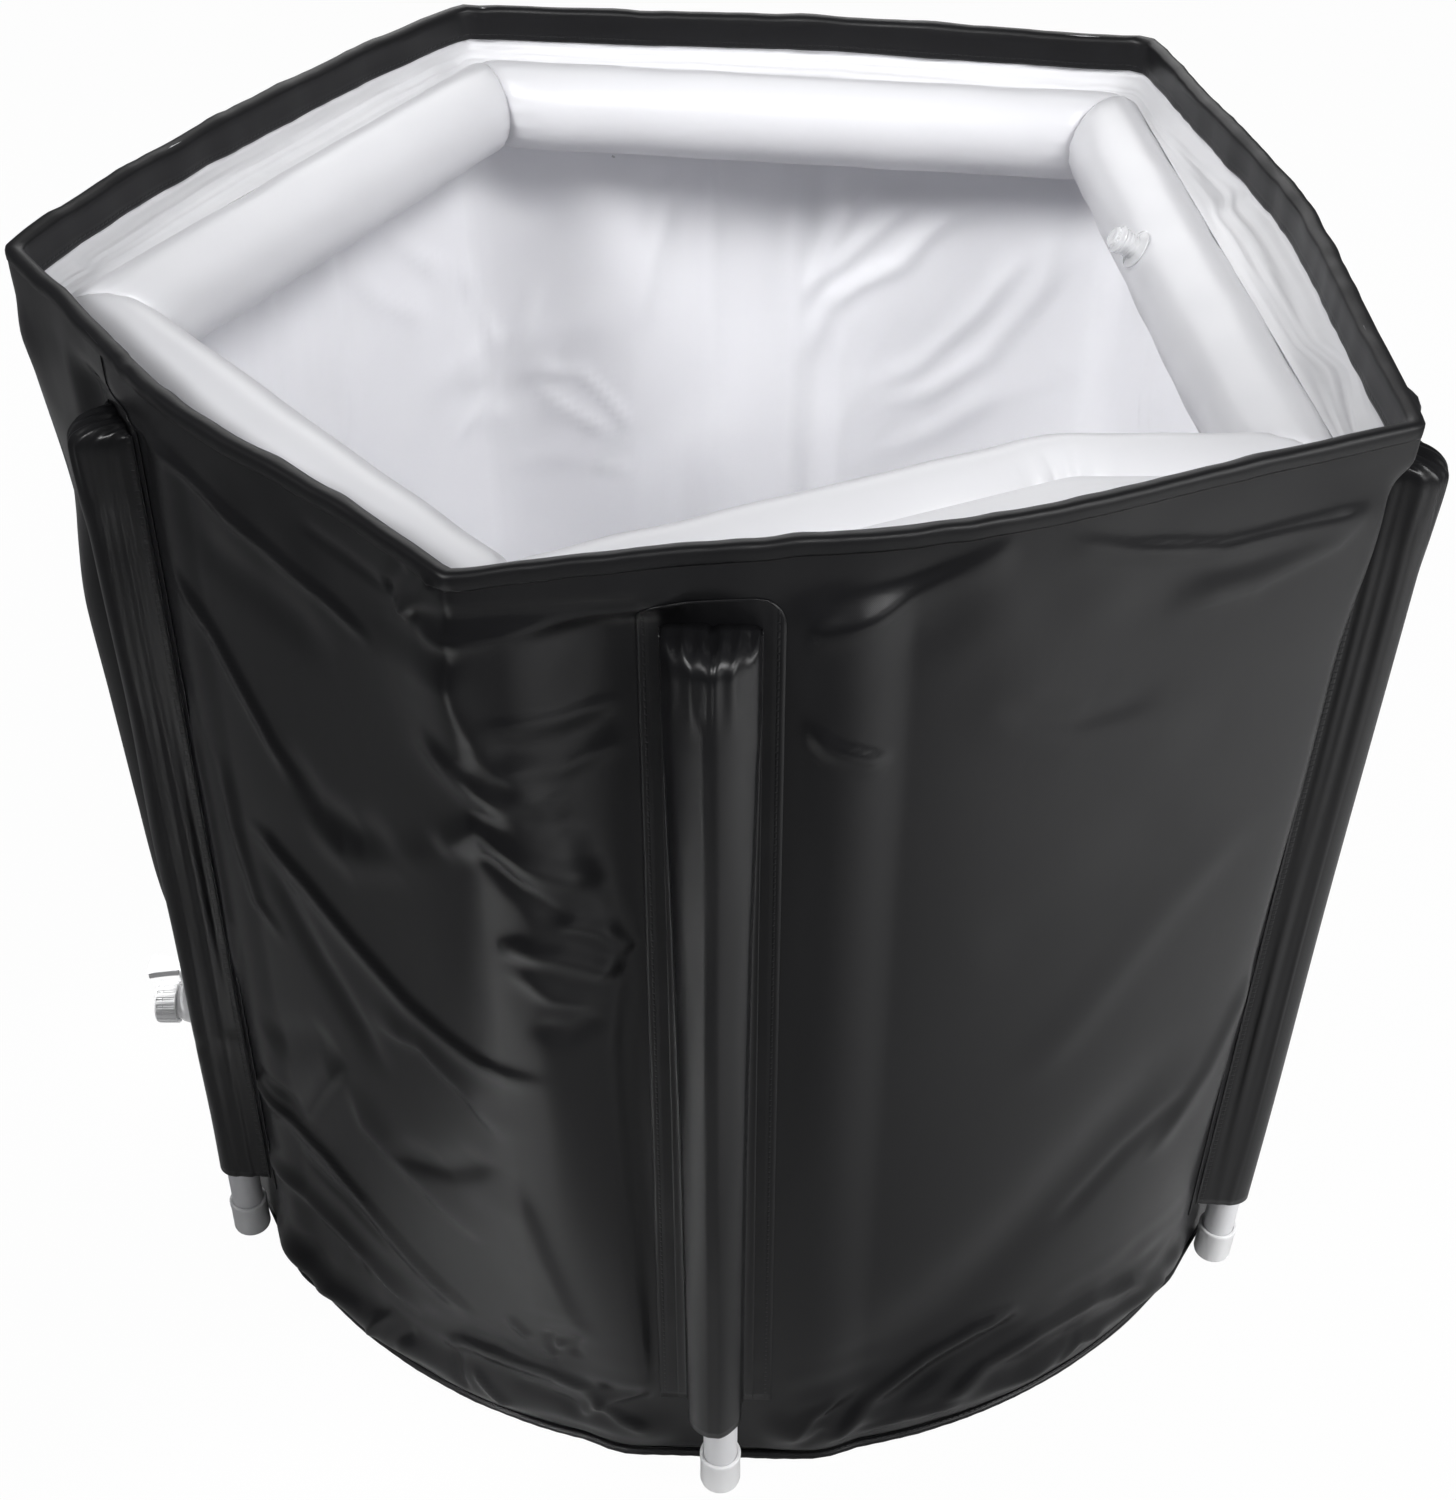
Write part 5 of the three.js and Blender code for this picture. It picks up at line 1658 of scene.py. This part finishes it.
    def patch(self) -> None:
        """Strip of cloth behind the sleeve, its top corners rounded."""
        half, foot, top, corner = 0.035, 0.0645, 0.6690, 0.015
        rounded = np.linspace(top - corner + 0.001, top, 12)
        heights = np.concatenate([np.linspace(foot, top - corner, 90), rounded])
        share, height = np.meshgrid(np.linspace(-1, 1, 31), heights)
        past = np.clip((height - (top - corner)) / corner, 0, 1)
        width = half - corner * (1 - np.sqrt(np.clip(1 - past ** 2, 0, 1)))
        sideways = share * width
        stand = 0.0009 + 0.0003 * lumps(sideways, height, 0.02, 100 + self.index) * (1 - np.abs(share) ** 4)
        points = self.on_wall(sideways, height, stand)
        piece = Sewing.sheet("patch_" + self.name, points, np.stack([sideways, height], -1), False, 0)
        Sewing.finish(piece, "SOLIDIFY", thickness=self.sleeve_cloth, offset=-1.0)
        dress(piece, self.finishes.patch, "black_cloth", "tub", "sleeve_patch_" + self.name)


@dataclass
class InflationValve:
    """Clear valve on the right tube: stem, flap and plug."""

    finishes: Finishes
    seat: tuple[float, float, float] = (0.24798, 0.0456, 0.6525)
    way: tuple[float, float, float] = (-0.864539, -0.050716, 0.5)

    def place(self) -> Matrix:
        """The valve's frame: Z outwards along its stem."""
        turned = Vector(self.way).to_track_quat("Z", "Y").to_matrix().to_4x4()
        return Matrix.Translation(Vector(self.seat)) @ turned

    def build(self) -> None:
        """Makes and dresses the three pieces."""
        place = self.place()
        stem = Bench("valve_body", [
            (0.0045, -0.005), (0.0065, -0.005), (0.0065, 0.0002), (0.0125, 0.0002), (0.0127, 0.0009),
            (0.0124, 0.0015), (0.0108, 0.0018), (0.0088, 0.0028), (0.0076, 0.0034), (0.0079, 0.0046),
            (0.0073, 0.0054), (0.0079, 0.0066), (0.0073, 0.0074), (0.0079, 0.0086), (0.0074, 0.0096),
            (0.0084, 0.0110), (0.0086, 0.0122), (0.0082, 0.0130), (0.0045, 0.0130), (0.0045, -0.005)],
            40, 0.00015).done(place)
        dress(stem, self.finishes.clear, "clear_vinyl", "tub", "valve_stem")
        flap = Bench("valve_leaf", [(0, -0.0061), (0.0060, -0.0061), (0.0064, -0.0057), (0.0060, -0.0053),
                                    (0.0030, -0.0054), (0, -0.0053)], 32, 0.0001).done(place)
        dress(flap, self.finishes.clear, "clear_vinyl", "tub", "valve_flap")
        plug = Bench("valve_stopper", [
            (0, 0.0063), (0.0034, 0.0063), (0.0040, 0.0072), (0.0042, 0.0131), (0.0085, 0.0133),
            (0.0091, 0.0142), (0.0089, 0.0153), (0.0068, 0.0157), (0.0058, 0.0166), (0.0061, 0.0190),
            (0.0054, 0.0197), (0.0025, 0.0193), (0, 0.0191)], 40, 0.00015)
        plug.raise_faces(lambda at, way: abs(way.z) < 0.3 and at.z > 0.0165 and
                         int(math.degrees(math.atan2(at.y, at.x)) // 9) % 2 == 0, 0.0002, 0.0005)
        plug.done(place)
        dress(plug.piece, self.finishes.clear, "clear_vinyl", "valve_plug", "valve_plug")


BALL_OUT = 0.040


@dataclass
class DrainTap:
    """Drain tap low on the left: fitting, gasket, nut, body, ball, lever and cap."""

    wall: Wall
    finishes: Finishes
    height: float = 0.040

    def place(self) -> Matrix:
        """The tap's frame: Z outwards, X down."""
        seat = Matrix.Translation((-self.wall.base, 0, self.height))
        return seat @ Matrix.Rotation(math.pi, 4, "Z") @ Matrix.Rotation(math.pi / 2, 4, "Y")

    @staticmethod
    def ribs(count: int, low: float, high: float, radius: float) -> Callable[[Vector, Vector], bool]:
        """Makes a test that picks every other side face, for the grip of a cap.

        Args:
            count: Number of ribs.
            low: Height above which they lie, in metres.
            high: Height below which they lie, in metres.
            radius: Radius outside which they lie, in metres.

        Returns:
            The test.
        """
        def test(at: Vector, way: Vector) -> bool:
            """Whether a face is one of the ribs."""
            step = int((math.degrees(math.atan2(at.y, at.x)) + 360) * count * 2 / 360 + 0.5)
            return abs(way.z) < 0.3 and low < at.z < high and at.xy.length > radius and step % 2 == 0
        return test

    def build(self) -> None:
        """Makes and dresses the seven pieces."""
        place, finishes = self.place(), self.finishes
        fitting = Bench("drain_flange", [
            (0.009, -0.0109), (0.0225, -0.0109), (0.0236, -0.0102), (0.024, -0.0090), (0.024, -0.0069),
            (0.0127, -0.0069), (0.0127, 0.0026), (0.0122, 0.003), (0.0127, 0.006), (0.0122, 0.009),
            (0.0127, 0.012), (0.0127, 0.026), (0.009, 0.026), (0.009, -0.0109)]).done(place)
        dress(fitting, finishes.plastic, "white_plastic", "tub", "drain_fitting")
        gasket = Bench("drain_washer", [(0.013, 0.0003), (0.0216, 0.0003), (0.022, 0.0010), (0.022, 0.0026),
                                        (0.0216, 0.0033), (0.013, 0.0033), (0.013, 0.0003)]).done(place)
        dress(gasket, finishes.rubber, "rubber", "tub", "drain_gasket")
        nut = Bench("drain_nut", [
            (0.0130, 0.0036), (0.0200, 0.0036), (0.0219, 0.0046), (0.0219, 0.0116),
            (0.0200, 0.0126), (0.0130, 0.0126), (0.0130, 0.0036)], 6, 0.0008).done(place)
        dress(nut, finishes.plastic, "white_plastic", "tub", "drain_lock_nut")
        self.body(place)
        self.ball(place)
        self.lever(place)
        cap = Bench("drain_lid", [
            (0.0138, 0.0535), (0.0163, 0.0535), (0.0165, 0.0545), (0.0165, 0.0640), (0.0165, 0.0685),
            (0.0160, 0.0699), (0.0148, 0.0706), (0.0110, 0.0706), (0.0102, 0.0701), (0, 0.0701),
            (0, 0.0675), (0.0138, 0.0675), (0.0138, 0.0535)], 72, 0.0003)
        cap.raise_faces(self.ribs(18, 0.0545, 0.0690, 0.0160), 0.0003, -0.0006)
        dress(cap.done(place), finishes.plastic, "white_plastic", "drain_cap", "drain_cap")

    def body(self, place: Matrix) -> None:
        """Makes the tap's body with end collars, a rounded belly and the lever's boss.

        Args:
            place: The tap's frame.
        """
        tube = Bench("tap_body", [
            (0.0130, 0.0129), (0.0170, 0.0129), (0.0170, 0.0190), (0.0158, 0.0200), (0.0158, 0.0230),
            (0.0166, 0.0270), (0.0170, 0.0330), (0.0170, 0.0400), (0.0164, 0.0450), (0.0150, 0.0495),
            (0.0138, 0.0509), (0.0135, 0.0512), (0.0135, 0.0660), (0.0131, 0.0669), (0.009, 0.0669),
            (0.009, 0.0513), (0.0113, 0.0513), (0.0113, 0.0287), (0.009, 0.0287), (0.009, 0.0263),
            (0.0130, 0.0263), (0.0130, 0.0129)]).done(Matrix.Identity(4))
        boss = Bench("tap_boss", [(0.0043, 0.0145), (0.0095, 0.0145), (0.0088, 0.0190), (0.0085, 0.0205),
                                  (0.0085, 0.0265), (0.0080, 0.0270), (0.0043, 0.0270), (0.0043, 0.0145)],
                     40).done(self.upright())
        whole = joined(tube, boss)
        whole.data.transform(place)
        dress(whole, self.finishes.plastic, "white_plastic", "tub", "drain_tap_body")

    @staticmethod
    def upright() -> Matrix:
        """The lever stem's frame inside the tap's: it stands up across the pipe."""
        return Matrix.Translation((0, 0, BALL_OUT)) @ Matrix.Rotation(-math.pi / 2, 4, "Y")

    def ball(self, place: Matrix) -> None:
        """Makes the ball with its waterway, and the stem that turns it.

        Args:
            place: The tap's frame.
        """
        bore, radius = 0.008, 0.011
        start = math.asin(bore / radius)
        arc = [(radius * math.sin(a), radius * math.cos(a)) for a in np.linspace(start, math.pi - start, 15)]
        globe = Bench("tap_ball", arc + [(bore, arc[-1][1]), (bore, arc[0][1]), arc[0]], 40, 0).done(
            Matrix.Translation((0, 0, BALL_OUT)))
        stem = Bench("tap_stem", [(0, 0.0095), (0.004, 0.0095), (0.004, 0.0352), (0.0034, 0.036), (0, 0.036)],
                     32).done(self.upright())
        whole = joined(globe, stem)
        whole.data.transform(place)
        dress(whole, self.finishes.plastic, "white_plastic", "drain_lever", "drain_ball")

    def lever(self, place: Matrix) -> None:
        """Makes the lever: a round hub drawn out into a flared, dished grip.

        Args:
            place: The tap's frame.
        """
        hub = Bench("tap_lever", [
            (0.0043, 0.028), (0.0097, 0.028), (0.0100, 0.0284), (0.0100, 0.0394), (0.0094, 0.040), (0, 0.040),
            (0, 0.0364), (0.0043, 0.0364), (0.0043, 0.028)], 48, 0)
        bpy.ops.object.select_all(action="DESELECT")
        bpy.ops.mesh.primitive_cube_add(size=1, location=(0.019, 0, 0.037))
        bar = bpy.context.object
        bpy.ops.transform.resize(value=(0.022, 0.017, 0.0056))
        bpy.ops.object.transform_apply(location=True, rotation=False, scale=True)
        bpy.ops.object.mode_set(mode="EDIT")
        bpy.ops.mesh.select_all(action="SELECT")
        bpy.ops.mesh.subdivide(number_cuts=5)
        shape = bmesh.from_edit_mesh(bar.data)
        for vert in shape.verts:
            run = max(0.0, (vert.co.x - 0.008) / 0.022)
            vert.co.y *= 0.86 + 0.46 * run ** 1.6
            vert.co.x += 0.0024 * run * (1 - (vert.co.y / 0.012) ** 2)
            if vert.co.z > 0.038:
                vert.co.z -= 0.0012 * math.sin(math.pi * run) * (1 - min(1, abs(vert.co.y) / 0.0075) ** 2)
        bmesh.update_edit_mesh(bar.data)
        bpy.ops.object.mode_set(mode="OBJECT")
        Sewing.finish(bar, "BEVEL", width=0.0009, segments=3, limit_method="ANGLE",
                      angle_limit=math.radians(50))
        joined(hub.piece, bar)
        hub.bevel = 0.0003
        whole = hub.done(self.upright())
        whole.data.transform(place)
        dress(whole, self.finishes.plastic, "white_plastic", "drain_lever", "drain_handle")


# Studio


@dataclass
class Studio:
    """Camera, lamps, pale floor and white surroundings."""

    pitch: float = math.radians(36.70)
    roll: float = math.radians(0.33)
    lens: float = 50.97
    whiteness: float = 0.98
    eye: tuple[float, float, float] = (-0.00886, -1.2209, 1.2003)

    def camera(self) -> None:
        """Stands the camera where the photograph was taken from."""
        data = bpy.data.cameras.new("camera")
        data.lens, data.sensor_width, data.clip_start = self.lens, 36, 0.01
        ahead = Vector((0, math.cos(self.pitch), -math.sin(self.pitch)))
        right, up = Vector((1, 0, 0)), Vector((0, math.sin(self.pitch), math.cos(self.pitch)))
        across = right * math.cos(self.roll) + up * math.sin(self.roll)
        above = up * math.cos(self.roll) - right * math.sin(self.roll)
        camera = bpy.data.objects.new("camera", data)
        bpy.context.scene.collection.objects.link(camera)
        turned = Matrix((across, above, -ahead)).transposed().to_4x4()
        camera.matrix_world = Matrix.Translation(self.eye) @ turned
        bpy.context.scene.camera = camera

    def lamp(self, name: str, at: Sequence[float], aim: Sequence[float], size: tuple[float, float],
             power: float, spread: float) -> None:
        """Adds one soft area lamp.

        Args:
            name: Its name.
            at: Its place.
            aim: The point that it faces.
            size: Its width and height.
            power: Its power, in watts.
            spread: Angle that its beam is held to, in degrees.
        """
        data = bpy.data.lights.new(name, "AREA")
        data.shape, data.size, data.size_y, data.energy = "RECTANGLE", size[0], size[1], power
        data.spread = math.radians(spread)
        lamp = bpy.data.objects.new(name, data)
        bpy.context.scene.collection.objects.link(lamp)
        lamp.visible_camera = False
        lamp.location = at
        lamp.rotation_euler = (Vector(aim) - Vector(at)).to_track_quat("-Z", "Y").to_euler()

    def ground(self) -> None:
        """Lays the pale floor, white to the camera but for the tub's shadow."""
        bpy.ops.object.select_all(action="DESELECT")
        bpy.ops.mesh.primitive_grid_add(x_subdivisions=8, y_subdivisions=8, size=14, location=(0, 0, -0.0004))
        floor = bpy.context.object
        floor.name = "floor"
        paint = Paint("floor")
        rays = paint.node("ShaderNodeLightPath")
        seen = Wire(paint, rays.outputs["Is Camera Ray"])
        lit = paint.node("ShaderNodeBsdfDiffuse", None, {"Color": (0.66, 0.66, 0.66, 1)})
        white = paint.node("ShaderNodeEmission", None, {"Color": (1, 1, 1, 1), "Strength": 1.0})
        mix = paint.node("ShaderNodeMixShader", None,
                         {0: seen * self.whiteness, 1: lit.outputs[0], 2: white.outputs[0]})
        paint.node("ShaderNodeOutputMaterial", None, {0: mix.outputs[0]})
        floor.data.materials.append(paint.material)

    def world(self) -> None:
        """White to the camera, a soft grey light otherwise."""
        world = bpy.data.worlds.new("surroundings")
        world.use_nodes = True
        bpy.context.scene.world = world
        tree = world.node_tree
        tree.nodes.clear()
        rays, out = tree.nodes.new("ShaderNodeLightPath"), tree.nodes.new("ShaderNodeOutputWorld")
        soft, white = tree.nodes.new("ShaderNodeBackground"), tree.nodes.new("ShaderNodeBackground")
        soft.inputs[0].default_value, soft.inputs[1].default_value = (0.92, 0.93, 0.97, 1), 0.13
        white.inputs[0].default_value, white.inputs[1].default_value = (1, 1, 1, 1), 1.0
        mix = tree.nodes.new("ShaderNodeMixShader")
        tree.links.new(rays.outputs["Is Camera Ray"], mix.inputs[0])
        tree.links.new(soft.outputs[0], mix.inputs[1])
        tree.links.new(white.outputs[0], mix.inputs[2])
        tree.links.new(mix.outputs[0], out.inputs[0])

    def build(self) -> None:
        """Sets up the whole studio."""
        bpy.context.scene.view_settings.view_transform = "Standard"
        self.camera()
        self.ground()
        self.world()
        self.lamp("right_lamp", (1.45, -0.95, 0.95), (1.0, -0.8, 0), (0.8, 0.8), 16.5, 130)
        self.lamp("left_lamp", (-0.85, -1.2, 0.55), (-0.46, -0.74, 0), (0.06, 0.5), 1.4, 28)
        self.lamp("back_lamp", (0, 1.7, 1.2), (0, 1.0, 0), (1.4, 0.8), 7, 130)
        self.lamp("left_key", (-1.1, -1.1, 2.2), (0.27, 0.3, 0.42), (0.8, 0.8), 2.55, 31)
        self.lamp("right_key", (1.1, -1.1, 2.2), (-0.24, 0.3, 0.42), (0.8, 0.8), 2.0, 31)
        self.lamp("drain_lamp", (-0.78, 0.12, 0.42), (-0.44, 0, 0.05), (0.12, 0.12), 0.16, 34)


def main() -> None:
    """Builds the tub's looks in order."""
    logging.basicConfig(level=logging.INFO, format="%(message)s")
    Studio().build()
    finishes, wall = Finishes(), Wall()
    ClothWall(wall, finishes).build()
    Base(wall, finishes).build()
    Ring(wall, finishes).build()
    for index, name in enumerate(("front_left", "front", "front_right", "back_right", "back", "back_left")):
        PoleSet(wall, finishes, index, name, pinch=0.19 if name == "front_left" else 0.0,
                drift=-0.0062 if name == "front" else 0.0).build()
    InflationValve(finishes).build()
    DrainTap(wall, finishes).build()


if __name__ == "__main__":
    main()
